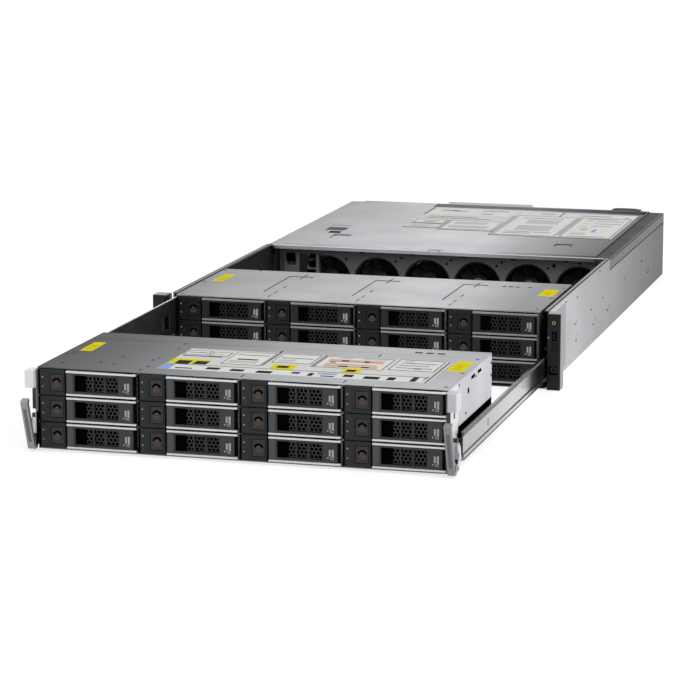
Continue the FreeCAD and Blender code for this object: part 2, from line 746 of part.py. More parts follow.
def ear_right_panel():
    """Right panel: power button hole, service port, ventilation bars."""
    x = ear_middle()
    deep = ear_depth / 2
    cuts = [rod(power_radius + running_gap / 2, (x, ear_plane - 1, power_height), (0, 1, 0), deep),
            box((x - 2.4, x + 3.4), (ear_plane - 1, ear_plane + deep), (port_low, port_high))]
    for count in range(4):
        low = bars_low + count * bar_pitch
        cuts.append(box((x - 3.5, x + 3.5), (ear_plane - 1, ear_plane + 1.2), (low, low + bar_height)))
    panel = cut(ear_panel_body(), cuts)
    tongue = box((x - 0.8, x + 0.9), (ear_plane + 1.0, ear_plane + deep), (port_low + 1.4, port_high - 1.4))
    return [panel.fuse(tongue)]


def ear_left_panel():
    """Left panel: a plain face with a row of lamp windows."""
    panel = ear_panel_body().mirror(Vector(0, 0, 0), Vector(1, 0, 0))
    x = -ear_middle()
    half, tall = lamp_size[0] / 2, lamp_size[1]
    lows = [lamps_low + lamp_pitch * count for count in range(4)]
    return [cut(panel, [box((x - half, x + half), (ear_plane - 1, ear_plane + 0.8), (low, low + tall))
                        for low in lows])]


def power_button():
    """Round cap on a stem, flush with the face until it is pressed."""
    x = ear_middle()
    return [rod(power_radius, (x, ear_plane - running_gap, power_height), (0, 1, 0), 4.0)]


# ---------------------------------------------------------------- drawer slides

def slide_profile():
    """X, Z outline of the bay's rail on the +X side: a flat web between two beads, flanges turned in."""
    web = rail_outside - 1.0
    groove = web - 0.7
    inner = web - 1.4
    flange = 1.2
    low, high = rail_bottom, rail_top
    bead_top, bead_low = low + rail_bead[0], high - rail_bead[1]
    return [(rail_inside, low), (rail_outside, low), (rail_outside, bead_top), (groove, bead_top),
            (groove, bead_top + rail_groove), (web, bead_top + rail_groove), (web, bead_low - rail_groove),
            (groove, bead_low - rail_groove), (groove, bead_low), (rail_outside, bead_low),
            (rail_outside, high), (rail_inside, high),
            (rail_inside, high - flange), (inner - 0.6, high - flange), (inner - 0.6, low + flange),
            (rail_inside, low + flange)]


def bay_rails():
    """Left and right rail of the front bay, each held off the cage by three pressed pads."""
    start = front_bay_front + rail_setback
    bar = along_y(slide_profile(), start, rail_length)
    pads = []
    for place in rail_pads:
        pads.append(box((cage_half, rail_outside - 2.0), (start + place, start + place + rail_pad_length),
                        (rail_bottom + rail_pad_margin, rail_top - rail_pad_margin)))
    return both_sides(fuse([bar] + pads))


def slide_channels():
    """Channels fixed to the chassis walls. Their lips reach over and under the rails."""
    web = wall_inside - channel_sheet
    low = rail_bottom - running_gap - channel_sheet
    high = rail_top + running_gap + channel_sheet
    tip = rail_inside + 1.0
    outline = [(wall_inside, low), (wall_inside, high), (tip, high), (tip, high - channel_sheet),
               (web, high - channel_sheet), (web, low + channel_sheet), (tip, low + channel_sheet), (tip, low)]
    bar = along_y(outline, pan_front, channel_length)
    return both_sides(bar)


def cable_side_plate():
    """Tall plate on the left of the drawer, above the rail. It guides the front bay's cables."""
    low = rail_top + running_gap + channel_sheet + running_gap
    high = border_top - sheet - 2 * running_gap
    start = front_bay_front + cable_plate_setback
    end = front_bay_front + front_bay_depth + cable_plate_length
    plate = box((-rail_inside - cable_plate_sheet, -rail_inside), (start, end), (low, high))
    pads = [box((-rail_inside, -cage_half), (start + place, start + place + rail_pad_length),
                (low + 8.0, high - 8.0)) for place in rail_pads[:2]]
    long, tall = cable_window
    windows = [box((-rail_inside - 2.0, -rail_inside + 0.1), (end - place - long, end - place),
                   (low + 8.0, low + 8.0 + tall)) for place in (0.6 * long, 2.8 * long)]
    return [cut(fuse([plate] + pads), windows)]


# ---------------------------------------------------------------- drive bays

def column_left(column):
    """X of the left side of a column's clear space."""
    return -cage_half + cage_sheet + column * column_pitch


def drive_cage(front, depth, glides):
    """A cage: floor, sides, partitions with ledges between the rows, a vented rear wall."""
    low, high = cage_bottom, cage_top
    floor = box((-cage_half, cage_half), (front, front + depth), (low, cage_floor))
    rear = box((-cage_half, cage_half), (front + depth - cage_sheet, front + depth), (low, high))
    side, rim = cage_vent_margin
    vents = [box((column_left(column) + side, column_left(column) + column_clear - side),
                 (front + depth - 2 * cage_sheet, front + depth + 1),
                 (cage_floor + row * row_pitch + rim, cage_floor + (row + 1) * row_pitch - rim))
             for column in range(columns) for row in range(rows)]
    walls = [box((x, x + cage_sheet), (front, front + depth), (low, high))
             for x in (-cage_half, cage_half - cage_sheet)]
    partitions = [box((column_left(column) - cage_sheet, column_left(column)),
                      (front + 4.0, backplane_face(front)), (low, high)) for column in range(1, columns)]
    ledge_length = latch_block_depth + drive_length - carrier_proud - 12.0
    ledges = []
    for row in range(1, rows):
        middle = cage_floor + running_gap / 2 + row * row_pitch
        for column in range(columns):
            left = column_left(column)
            for x in ((left, left + ledge_width), (left + column_clear - ledge_width, left + column_clear)):
                ledges.append(box(x, (front + latch_block_depth, front + latch_block_depth + ledge_length),
                                  (middle - ledge_sheet / 2, middle + ledge_sheet / 2)))
    wide, long = glide_size
    feet = [box((x, x + wide), (front + y, front + y + long), (sheet, cage_bottom))
            for x in (-cage_half + wide / 2, cage_half - 1.5 * wide)
            for y in (long / 2, depth - 1.5 * long)] if glides else []
    return [fuse([floor, cut(rear, vents)] + walls + partitions + ledges + feet)]


def bay_lid(front, depth):
    """The second bay's top plate, with a pressed groove beside each partition."""
    plate = box((-cage_half, cage_half), (front, front + depth), (cage_top, chassis_height))
    groove = sheet / 2
    top = (chassis_height - groove, chassis_height + 1)
    cuts = []
    for column in range(1, columns):
        x = column_left(column) - lid_groove_offset
        start, end, turn = lid_groove
        cuts.append(box((x, x + lid_groove_width), (front + start, front + end), top))
        cuts.append(box((x, x + turn), (front + end - lid_groove_width, front + end), top))
    return [cut(plate, cuts)]


def seamed_lid(front, depth):
    """The front bay's top plate, with a seam across it in front of a narrow rear strip."""
    plate = box((-cage_half, cage_half), (front, front + depth), (cage_top, chassis_height))
    place = front + depth - lid_seam
    seam = box((-cage_half - 1, cage_half + 1), (place, place + lid_groove_width),
               (chassis_height - sheet / 2, chassis_height + 1))
    return [plate.cut(seam)]


def backplane_face(front):
    """Y of the front of the board that the drives plug into."""
    return front - carrier_proud + latch_block_depth + drive_length + socket_depth + socket_gap


def backplane(front):
    """The board behind the drives, with a connector for each."""
    face = backplane_face(front)
    side = cage_half - cage_sheet
    board = box((-side, side), (face, face + board_thickness), (cage_floor, cage_top - running_gap))
    sockets = []
    for column in range(columns):
        x = column_left(column) + socket_place[0]
        for row in range(rows):
            z = cage_floor + row * row_pitch + socket_place[1]
            sockets.append(box((x, x + socket_size[0]), (face - socket_depth, face), (z, z + socket_size[1])))
    return [fuse([board] + sockets)]


def carrier(front, column, row):
    """One hot-swap carrier: latch block with its tray, the handle, the release button and the drive."""
    left = column_left(column) + carrier_side_gap
    right = left + carrier_width
    face = front - carrier_proud
    low = cage_floor + running_gap / 2 + row * row_pitch + carrier_row_gap / 2
    high = low + carrier_height
    block_right = left + latch_block_width
    back = face + latch_block_depth
    drive_left = (left + right - drive_width) / 2
    drive_low = (low + high - drive_height) / 2

    block = box((left, block_right), (face, back), (low, high))
    rail_span = (low + tray_rail_margin, high - tray_rail_margin)
    crossbar = box((left, right), (back - tray_rail, back), rail_span)
    rails = [box(x, (back, back + drive_length - tray_rail_short), rail_span)
             for x in ((left, drive_left), (drive_left + drive_width, right))]
    tray = fuse([block, crossbar] + rails)
    panel_left = block_right - button_side - button_panel
    pocket = (low + button_margin, high - button_margin)
    recess = box((panel_left, panel_left + button_panel), (face - 1, face + button_depth), pocket)
    tray = tray.cut(recess)
    button = box((panel_left + button_gap, panel_left + button_panel - button_gap),
                 (face + button_setback, face + button_depth), (pocket[0] + button_gap, pocket[1] - button_gap))

    half_gap = carrier_row_gap / 2
    handle = drive_handle(block_right + handle_gap, right, face, back, low + half_gap, high - half_gap)
    drive = box((drive_left, drive_left + drive_width), (back, back + drive_length),
                (drive_low, drive_low + drive_height))
    return [tray, button, handle, drive]


def drive_handle(left, right, face, back, low, high):
    """The swing handle: a panel with an air window between bright strips, and the arm to its hinge."""
    end = right - handle_end_gap
    panel = box((left, end), (face, face + handle_panel), (low, high))
    strips = [box((left, right), (face - handle_trim_proud, face + handle_panel), pair)
              for pair in ((low, low + handle_trim), (high - handle_trim, high))]
    hinge = box((end - tray_rail, end), (face + handle_panel, back - tray_rail), (low, high))
    from_left, from_right, rim = window_margin
    window = box((left + from_left, end - from_right), (face - 1, face + handle_panel + 1), (low + rim, high - rim))
    return fuse([panel, hinge] + strips).cut(window)


# ---------------------------------------------------------------- levers

def lever_pin_place():
    """Y and Z of the release levers' pivot."""
    return cap_front + lever_thickness + 2.5, lever_pin_height


def lever_brackets():
    """Left and right: a side plate on the cage, the bright cap at the top and the fork that holds the lever."""
    pin_y, pin_z = lever_pin_place()
    plate_back = front_bay_front + rail_setback - running_gap
    plate = box((cage_half, bracket_outside), (cap_front + 4.0, plate_back), (3.0, cage_top - running_gap))
    cap = box((bracket_outside, cap_outside), (cap_front, cap_front + cap_depth), (cap_bottom, chassis_height))
    cap = bevelled(cap, 0.8, lambda edge: edge.CenterOfMass.y < cap_front + 0.1 and runs_along(edge, "z"))
    web_y = cap_front + lever_thickness + 6.5
    web = box((bracket_outside, cap_outside), (web_y, web_y + fork_sheet), (pin_z + 8.0, cap_bottom))
    back = cap_front + cap_depth
    outline = [(web_y + fork_sheet, cap_bottom), (web_y - 5.5, cap_bottom), (web_y - 5.5, 34.0),
               (pin_y - 3.5, 14.0), (pin_y - 3.5, 6.0), (pin_y - 1.0, 3.4), (pin_y + 4.5, 3.4), (back, 14.0),
               (back, 27.0), (web_y + fork_sheet, 40.0)]
    outer = along_x(outline, cap_outside - fork_sheet, fork_sheet)
    pin = rod(lever_pin_radius, (bracket_outside - 0.2, pin_y, pin_z), (1, 0, 0),
              cap_outside - fork_sheet / 2 - bracket_outside + 0.2)
    return both_sides(fuse([plate, cap, web, outer, pin]))


def release_lever(side):
    """A flat bar with a grooved face and a turned thumb end, leaning forward about its pivot."""
    pin_y, pin_z = lever_pin_place()
    left, right = cap_inside, cap_outside - fork_sheet - running_gap
    top = cap_bottom - lever_gap
    outline = [(cap_front + 3.0, pin_z - 3.5), (cap_front, pin_z + 1.0), (cap_front, top),
               (cap_front + lever_thickness + 2.5, top), (cap_front + lever_thickness + 2.5, top - 2.2),
               (cap_front + lever_thickness, top - 3.4), (cap_front + lever_thickness - 1.0, pin_z + 9.0),
               (pin_y + 2.6, pin_z + 3.6), (pin_y + 4.4, pin_z + 0.6), (pin_y + 3.4, pin_z - 2.8),
               (pin_y + 1.0, pin_z - 4.2), (pin_y - 2.0, pin_z - 4.2)]
    bar = along_x(outline, left, right - left)
    groove = box((left + 2.2, right - 2.2), (cap_front - 1, cap_front + 0.9), (16.0, top - 9.0))
    bore = rod(lever_pin_radius + pin_clearance, (left - 1, pin_y, pin_z), (1, 0, 0), right - left + 2)
    lever = cut(bar, [groove, bore])
    lever.rotate(Vector(0, pin_y, pin_z), Vector(1, 0, 0), lever_open)
    return [both_sides(lever)[0 if side == "right" else 1]]


# ---------------------------------------------------------------- the nodes

def all_nodes():
    nodes = {
        "chassis_pan": chassis_pan(),
        "rear_wall": rear_wall(),
        "io_ports": io_ports(),
        "fan_wall": fan_wall(),
        "cable_bracket": cable_bracket(),
        "fan_frames": fan_frames(),
        "system_board": system_board(),
        "heat_sinks": heat_sinks(),
        "air_shroud": air_shroud(),
        "expansion_cards": expansion_cards(),
        "ear_brackets": ear_brackets(),
        "ear_left_panel": ear_left_panel(),
        "ear_right_panel": ear_right_panel(),
        "power_button": power_button(),
        "slide_channels": slide_channels(),
        "top_cover": top_cover(),
        "cover_latch": cover_latch(),
        "power_supply_lower": power_supply(0),
        "power_supply_upper": power_supply(1),
        "front_bay_cage": drive_cage(front_bay_front, front_bay_depth, False),
        "front_bay_lid": seamed_lid(front_bay_front, front_bay_depth),
        "front_backplane": backplane(front_bay_front),
        "bay_rails": bay_rails(),
        "cable_side_plate": cable_side_plate(),
        "lever_brackets": lever_brackets(),
        "release_lever_left": release_lever("left"),
        "release_lever_right": release_lever("right"),
        "second_bay_cage": drive_cage(second_bay_front, second_bay_depth, True),
        "second_bay_lid": bay_lid(second_bay_front, second_bay_depth),
        "second_backplane": backplane(second_bay_front),
    }
    for number in range(fan_count):
        nodes[f"fan_rotor_{number + 1}"] = fan_rotor(number)
    for name, front in (("front", front_bay_front), ("second", second_bay_front)):
        for column in range(columns):
            for row in range(rows):
                nodes[f"{name}_carrier_{'abcd'[column]}{row + 1}"] = carrier(front, column, row)
    return nodes


def main():
    os.makedirs("parts", exist_ok=True)
    for name, solids in all_nodes().items():
        shape = Part.makeCompound(solids) if len(solids) > 1 else solids[0]
        shape.exportStep(f"parts/{name}.step")
        if not shape.isValid():
            print("not valid:", name)
    print("fan rotors turn about", [round(x, 3) for x in fan_centres()], "height", fan_height)


main()
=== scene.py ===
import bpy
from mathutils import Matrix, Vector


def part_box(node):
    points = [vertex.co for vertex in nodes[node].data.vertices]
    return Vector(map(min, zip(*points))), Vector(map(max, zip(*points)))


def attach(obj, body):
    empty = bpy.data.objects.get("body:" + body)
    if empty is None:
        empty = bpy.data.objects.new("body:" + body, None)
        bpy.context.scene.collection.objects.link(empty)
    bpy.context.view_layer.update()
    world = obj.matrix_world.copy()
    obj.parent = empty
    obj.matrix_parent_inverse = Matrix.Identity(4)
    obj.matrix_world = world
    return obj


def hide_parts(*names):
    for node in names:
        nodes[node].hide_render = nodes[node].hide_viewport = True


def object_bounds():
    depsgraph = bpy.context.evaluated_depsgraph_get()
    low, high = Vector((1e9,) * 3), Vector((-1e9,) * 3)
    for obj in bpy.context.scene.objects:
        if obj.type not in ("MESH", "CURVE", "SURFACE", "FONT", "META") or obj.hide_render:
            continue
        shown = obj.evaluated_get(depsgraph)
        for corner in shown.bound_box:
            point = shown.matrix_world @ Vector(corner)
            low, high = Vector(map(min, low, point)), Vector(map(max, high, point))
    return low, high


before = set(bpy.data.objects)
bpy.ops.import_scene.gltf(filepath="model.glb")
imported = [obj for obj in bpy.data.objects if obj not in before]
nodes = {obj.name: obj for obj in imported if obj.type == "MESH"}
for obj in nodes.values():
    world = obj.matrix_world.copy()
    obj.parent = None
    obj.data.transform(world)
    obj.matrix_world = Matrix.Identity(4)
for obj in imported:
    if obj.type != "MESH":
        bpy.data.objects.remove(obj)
cadBox = [list(map(float, corner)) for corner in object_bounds()]

import math

import bmesh
import bpy
import numpy as np
from mathutils import Matrix, Vector

mm = 0.001


# Camera: above and in front of the right corner, long lens
viewSettings = {
    "place": (0.84981, -3.50029, 0.66312),
    "turn": 15.6866, "tilt": -10.8554, "roll": 0.0452,      # degrees
    "lens": 151.415, "shiftX": 0.00475, "shiftY": -0.0030,
}


# the camera looks along +Y, then rolls, tips about X and turns about Z by the given angles
def addCamera(s):
    data = bpy.data.cameras.new("camera")
    data.lens, data.sensor_width = s["lens"], 36.0
    data.shift_x, data.shift_y = s["shiftX"], s["shiftY"]
    data.clip_end = 60.0
    camera = bpy.data.objects.new("camera", data)
    bpy.context.scene.collection.objects.link(camera)
    spin = lambda angle, axis: Matrix.Rotation(math.radians(angle), 4, axis)
    camera.matrix_world = (Matrix.Translation(s["place"]) @ spin(s["turn"], "Z") @ spin(s["tilt"], "X")
                           @ spin(s["roll"], "Y") @ spin(90, "X"))
    bpy.context.scene.camera = camera


addCamera(viewSettings)
bpy.context.scene.view_settings.view_transform = "Standard"
print("camera ready")


# sRGB numbers 0 to 255 to linear light
def tone(*rgb):
    share = np.array(rgb, float) / 255.0
    line = np.where(share <= 0.04045, share / 12.92, ((share + 0.055) / 1.055) ** 2.4)
    return (*map(float, line), 1.0)


# a material with its node tree and its main shader
def startMaterial(name):
    material = bpy.data.materials.new(name)
    material.use_nodes = True
    tree = material.node_tree
    return material, tree, tree.nodes["Principled BSDF"]


# a node whose settings or input numbers are given by name; an underscore stands for a space in an input
def addNode(tree, kind, **inputs):
    node = tree.nodes.new(kind)
    for key, value in inputs.items():
        if hasattr(node, key):
            setattr(node, key, value)
        else:
            node.inputs[key.replace("_", " ")].default_value = value
    return node


# noise on the object coordinates, stretched along the axes and then scaled
def objectNoise(tree, stretch, scale, detail=3.0):
    where = addNode(tree, "ShaderNodeTexCoord")
    mapping = addNode(tree, "ShaderNodeMapping")
    mapping.inputs["Scale"].default_value = stretch
    noise = addNode(tree, "ShaderNodeTexNoise", Scale=scale, Detail=detail)
    tree.links.new(where.outputs["Object"], mapping.inputs["Vector"])
    tree.links.new(mapping.outputs["Vector"], noise.inputs["Vector"])
    return noise


# low + (high - low) * (source - fromLow) / (fromHigh - fromLow), held between low and high
def between(tree, source, low, high, fromLow=0.3, fromHigh=0.7):
    node = addNode(tree, "ShaderNodeMapRange")
    for place, value in enumerate((fromLow, fromHigh, low, high), start=1):
        node.inputs[place].default_value = value
    tree.links.new(source, node.inputs[0])
    return node.outputs[0]


# A finish: the colour times a wide noise times its ramps of painted light and shade and its painted shading, roughness
# from the same noise, and a bump from a fine stretched noise. Metal, coat, specular share and the tint of glancing
# light (edge) are plain numbers; bump is a height in mm
def finish(name, rgb, rough=0.4, metal=0.0, mottle=0.05, mottleScale=14.0, grain=(1, 1, 1), grainScale=900.0,
           bump=0.02, coat=0.0, specular=0.5, edge=1.0, glow=0.0, paintedLightRamps=(), paintedShading=None):
    material, tree, shader = startMaterial(name)
    shader.inputs["Metallic"].default_value = metal
    shader.inputs["Specular IOR Level"].default_value = specular
    shader.inputs["Specular Tint"].default_value = (edge, edge, edge, 1)
    shader.inputs["Coat Weight"].default_value = coat
    wide = objectNoise(tree, (1, 1, 1), mottleScale)
    colour = addNode(tree, "ShaderNodeMix", data_type="RGBA", blend_type="MULTIPLY")
    colour.inputs[0].default_value = 1.0
    colour.inputs[6].default_value = tone(*rgb)
    shade = between(tree, wide.outputs[0], 1.0 - mottle, 1.0 + mottle)
    for axis, stops in paintedLightRamps:
        shade = times(tree, shade, paintedShadeAlong(tree, axis, stops))
    if paintedShading:
        shade = paintedShading(tree, shade)
    tree.links.new(shade, colour.inputs[7])
    tree.links.new(colour.outputs[2], shader.inputs["Base Color"])
    tree.links.new(between(tree, wide.outputs[0], rough * 0.85, min(1.0, rough * 1.15)),
                   shader.inputs["Roughness"])
    fine = objectNoise(tree, grain, grainScale, 2.0)
    dent = addNode(tree, "ShaderNodeBump", Strength=0.6, Distance=bump * mm)
    tree.links.new(fine.outputs[0], dent.inputs["Height"])
    tree.links.new(dent.outputs[0], shader.inputs["Normal"])
    if glow:
        shader.inputs["Emission Color"].default_value = tone(*rgb)
        shader.inputs["Emission Strength"].default_value = glow
    return material


# one sum, product or comparison of sockets or plain numbers
def calculate(tree, operation, first, second=None):
    node = addNode(tree, "ShaderNodeMath", operation=operation)
    for place, value in enumerate((first, second)):
        if value is None:
            continue
        if isinstance(value, (int, float)):
            node.inputs[place].default_value = value
        else:
            tree.links.new(value, node.inputs[place])
    return node.outputs[0]


# the product of two sockets or numbers
def times(tree, first, second):
    return calculate(tree, "MULTIPLY", first, second)


# one of the object coordinates, in metres
def coordinate(tree, axis):
    where = addNode(tree, "ShaderNodeTexCoord")
    split = addNode(tree, "ShaderNodeSeparateXYZ")
    tree.links.new(where.outputs["Object"], split.inputs[0])
    return split.outputs["xyz".index(axis)]


# painted light and shade that goes in straight runs between stops of (place along the axis in mm, factor)
def paintedShadeAlong(tree, axis, stops):
    first, last = stops[0][0], stops[-1][0]
    share = between(tree, coordinate(tree, axis), 0.0, 1.0, first * mm, last * mm)
    ramp = addNode(tree, "ShaderNodeValToRGB")
    points = ramp.color_ramp.elements
    for number, (place, factor) in enumerate(stops):
        ends = {0: 0, len(stops) - 1: -1}
        point = points[ends[number]] if number in ends else points.new((place - first) / (last - first))
        point.color = (factor, factor, factor, 1)
    tree.links.new(share, ramp.inputs[0])
    return ramp.outputs[0]


chassisPaintedShadeSettings = {
    "sides": ((-384, 0.97), (-240, 0.86), (-100, 0.68), (100, 0.5), (250, 0.37), (408, 0.26)),
    "rimFrom": 85.5, "rim": 0.5, "halfTunnel": 222.9, "tunnelFrom": 0.4, "tunnelTo": 18, "tunnelDark": 0.88,
}


# the chassis, painted shade: its sides darken along a ramp to the rear, its upper rims have one factor, and the
# drawers' tunnel between the walls (|x|, z and y under their limits) loses most of its light, painted as the shade
# inside
def chassisShade(tree, shade):
    s = chassisPaintedShadeSettings
    high = coordinate(tree, "z")
    rim = calculate(tree, "GREATER_THAN", high, s["rimFrom"] * mm)
    below = calculate(tree, "SUBTRACT", 1.0, rim)
    side = times(tree, paintedShadeAlong(tree, "y", s["sides"]), below)
    shade = times(tree, shade, calculate(tree, "MAXIMUM", side, times(tree, rim, s["rim"])))
    inside = calculate(tree, "LESS_THAN", calculate(tree, "ABSOLUTE", coordinate(tree, "x")), s["halfTunnel"] * mm)
    raised = calculate(tree, "GREATER_THAN", high, s["tunnelFrom"] * mm)
    ahead = calculate(tree, "LESS_THAN", coordinate(tree, "y"), s["tunnelTo"] * mm)
    dark = times(tree, times(tree, inside, below), times(tree, raised, ahead))
    return times(tree, shade, calculate(tree, "SUBTRACT", 1.0, times(tree, dark, s["tunnelDark"])))


cageEdgePaintedShade = {"edgeTo": -835.3, "edgeDark": 0.7}


# the front cage: painted shade on its edge faces at the front, which lose a share of their light
def cageShade(tree, shade):
    edge = calculate(tree, "LESS_THAN", coordinate(tree, "y"), cageEdgePaintedShade["edgeTo"] * mm)
    return times(tree, shade, calculate(tree, "SUBTRACT", 1.0, times(tree, edge, cageEdgePaintedShade["edgeDark"])))


sheetLook = {"metal": 0.55, "rough": 0.4, "specular": 0.05, "edge": 0.35, "mottle": 0.035, "grain": (1, 14, 14),
             "grainScale": 260.0, "bump": 0.012}
plasticLook = {"rough": 0.46, "mottle": 0.06, "grainScale": 2600.0, "bump": 0.02, "specular": 0.2}
flatLook = {"rough": 0.7, "mottle": 0.03, "specular": 0.02}
# ramps of painted light and shade: the studio's gradients over the lids, the cover with its darker right border, the
# rails, which go dark in the chassis' shade, the lever caps and the levers. An axis, then stops of place in mm and
# factor
paintedLightRamps = {
    "lidFront": ("x", ((-216, 0.14), (-150, 0.22), (-80, 0.37), (0, 0.58), (100, 0.74), (216, 0.72))),
    "lidSecond": ("x", ((-216, 0.46), (-160, 0.57), (-30, 0.73), (70, 0.87), (120, 0.75), (185, 0.46), (216, 0.41))),
    "cover": ("x", ((-224, 0.62), (-150, 0.76), (-20, 0.95), (40, 0.92), (115, 0.57), (160, 0.36), (203.2, 0.23),
                    (204.2, 0.08), (221, 0.08), (223, 0.32), (224, 0.32))),
    "rail": ("y", ((-796, 0.56), (-680, 0.62), (-560, 0.9), (-500, 0.95), (-465, 0.05), (-190, 0.05))),
    "cap": ("x", ((-226, 1.0), (200, 1.0), (206, 0.66), (225.2, 0.66), (225.6, 1.0), (226, 1.0))),
    "lever": ("x", ((-230, 0.7), (0, 0.7), (214, 0.58), (230, 0.58))),
}
paintedShadings = {"chassis": chassisShade, "cageSheet": cageShade}
paint = {}


# a finish under its name, with the ramp of painted light and shade and the painted shading that carry the same name
def addPaint(name, rgb, **look):
    own = (paintedLightRamps[name],) if name in paintedLightRamps else ()
    paint[name] = finish(name, rgb, paintedLightRamps=own, paintedShading=paintedShadings.get(name), **look)


# the finishes ending in Second are darker copies of the same plastics and trims for the second bay's carriers: painted
# shade
families = [
    (sheetLook, {
        "zinc": (214, 215, 217), "chassis": (232, 233, 236), "lidSecond": (238, 239, 242),
        "lidFront": (228, 229, 232), "cover": (233, 235, 238), "cageSheet": (233, 234, 237),
        "earSheet": (192, 193, 195), "lipBright": (236, 237, 240)}),
    (plasticLook, {
        "ear": (29, 30, 32), "earLow": (12, 12, 13), "block": (40, 42, 43), "blockSecond": (27, 28, 30),
        "handle": (66, 68, 71), "handleSecond": (40, 41, 44), "handleRidge": (86, 88, 91),
        "lampStrip": (42, 47, 44), "lampStripSecond": (25, 29, 27), "button": (60, 58, 57),
        "buttonSecond": (32, 31, 31), "buttonRing": (96, 92, 90), "shroud": (30, 31, 33)}),
    (flatLook, {
        "fanLabel": (150, 151, 152), "labelPale": (222, 222, 219), "labelGrey": (212, 212, 210),
        "labelMid": (194, 195, 194), "labelLine": (78, 78, 80), "labelDark": (40, 40, 42),
        "labelBrown": (128, 92, 62), "labelBlue": (142, 168, 206), "labelYellow": (222, 208, 10),
        "groove": (42, 43, 46)}),
]
for look, colours in families:
    for name, rgb in colours.items():
        addPaint(name, rgb, **look)
addPaint("rail", (205, 206, 209), metal=0.9, rough=0.28, grain=(14, 1, 14), grainScale=240.0, bump=0.01)
addPaint("railLine", (56, 57, 60), rough=0.6, specular=0.0)
addPaint("railTop", (120, 121, 124), metal=0.4, specular=0.0, rough=0.5)
# painted shade: the second bay's cage and the slide channels stand in the chassis' tunnel and take this dark copy of
# the sheet
addPaint("darkSheet", (40, 41, 44), metal=0.2, rough=0.5, mottle=0.08)
addPaint("fanSheet", (134, 135, 140), metal=0.2, rough=0.5, mottle=0.06)
# painted shade on the handle's right end
addPaint("carrierEdge", (20, 20, 22), rough=0.6, specular=0.05)
addPaint("black", (7, 7, 8), rough=0.7, specular=0.0)
# painted shade of the side plate's inner face
addPaint("sidePlate", (20, 21, 24), rough=0.5, mottle=0.12, mottleScale=60.0, specular=0.3)
addPaint("screen", (46, 47, 50), metal=0.2, rough=0.5)
# the two Second finishes below are darker copies, painted shade for the second bay's carriers
addPaint("screenSecond", (26, 27, 29), metal=0.2, rough=0.5)
addPaint("trim", (224, 225, 228), metal=0.35, rough=0.3, mottle=0.04)
addPaint("trimSecond", (158, 159, 162), metal=0.35, rough=0.3, mottle=0.04)
addPaint("copper", (112, 72, 46), metal=0.3, mottle=0.15, mottleScale=200.0)
addPaint("darkRed", (34, 14, 12))
addPaint("lampWhite", (150, 162, 154), rough=0.3, glow=0.06)
addPaint("lampGreen", (132, 150, 62), rough=0.3, glow=0.08)
addPaint("powerGlow", (158, 168, 84), glow=0.1)
addPaint("print", (176, 177, 180), rough=0.5)
addPaint("cap", (226, 227, 230), metal=0.4, rough=0.36, mottle=0.04, grainScale=1500.0)
addPaint("bracket", (222, 223, 226), metal=0.6, rough=0.36, grainScale=1500.0)
addPaint("bracketDark", (58, 59, 62), metal=0.5, rough=0.42, mottle=0.15, mottleScale=160.0)
addPaint("lever", (176, 177, 180), metal=0.5, rough=0.38, grainScale=1500.0)
addPaint("leverGroove", (112, 113, 116), metal=0.4, specular=0.1, rough=0.5)
addPaint("fan", (44, 44, 47), rough=0.35, mottle=0.1)
addPaint("board", (24, 74, 48), coat=0.3, mottle=0.2, mottleScale=120.0)
addPaint("cooler", (206, 207, 210), metal=0.9, rough=0.3)
addPaint("port", (205, 206, 208), metal=0.85, rough=0.3)
addPaint("supply", (176, 177, 180), metal=0.8, rough=0.35)
addPaint("drive", (176, 178, 182), metal=0.6, rough=0.42, mottle=0.06, grainScale=1200.0)
addPaint("driveTop", (196, 197, 200), metal=0.75, rough=0.3)
addPaint("tray", (180, 181, 184), metal=0.8, rough=0.36)
addPaint("labelOrange", (196, 132, 84), mottle=0.2, mottleScale=300.0)
addPaint("screw", (58, 58, 62), metal=0.6)
addPaint("latch", (70, 72, 76), rough=0.5, specular=0.05)
addPaint("hookDark", (84, 85, 88), rough=0.6, specular=0.0)
print("finishes:", len(paint))


# CAD nodes that keep their shape, by finish
nodeLooks = {
    "chassis": ["chassis_pan"], "zinc": ["rear_wall", "expansion_cards"],
    "cover": ["top_cover"], "lidFront": ["front_bay_lid"], "lidSecond": ["second_bay_lid"],
    "rail": ["bay_rails"], "darkSheet": ["second_bay_cage", "slide_channels"],
    "fanSheet": ["fan_wall", "cable_bracket"], "cageSheet": ["front_bay_cage"], "earSheet": ["ear_brackets"],
    "ear": ["ear_left_panel", "ear_right_panel", "power_button"], "sidePlate": ["cable_side_plate"],
    "lever": ["release_lever_left", "release_lever_right"], "fan": ["fan_frames"],
    "board": ["system_board", "front_backplane", "second_backplane"], "cooler": ["heat_sinks"],
    "shroud": ["air_shroud"], "port": ["io_ports"], "supply": ["power_supply_lower", "power_supply_upper"],
    "latch": ["cover_latch"],
}
nodeLooks["fan"] += [name for name in nodes if name.startswith("fan_rotor")]
for look, names in nodeLooks.items():
    for name in names:
        nodes[name].data.materials.clear()
        nodes[name].data.materials.append(paint[look])
print("CAD nodes dressed")


# Shape helpers. Each returns points and faces; sizes in mm
# a block: its eight corners picked from the low and high numbers
def block(x, y, z):
    pick = np.array([[0, 0, 0], [1, 0, 0], [1, 1, 0], [0, 1, 0], [0, 0, 1], [1, 0, 1], [1, 1, 1], [0, 1, 1]])
    span = np.array([x, y, z], float)
    points = span[:, 0] + pick * (span[:, 1] - span[:, 0])
    return points, [[0, 3, 2, 1], [4, 5, 6, 7], [0, 1, 5, 4], [1, 2, 6, 5], [2, 3, 7, 6], [3, 0, 4, 7]]


# a part that is one block: its finish, then x0, x1, y0, y1, z0, z1
def boxed(look, *span):
    return block(span[:2], span[2:4], span[4:]), look


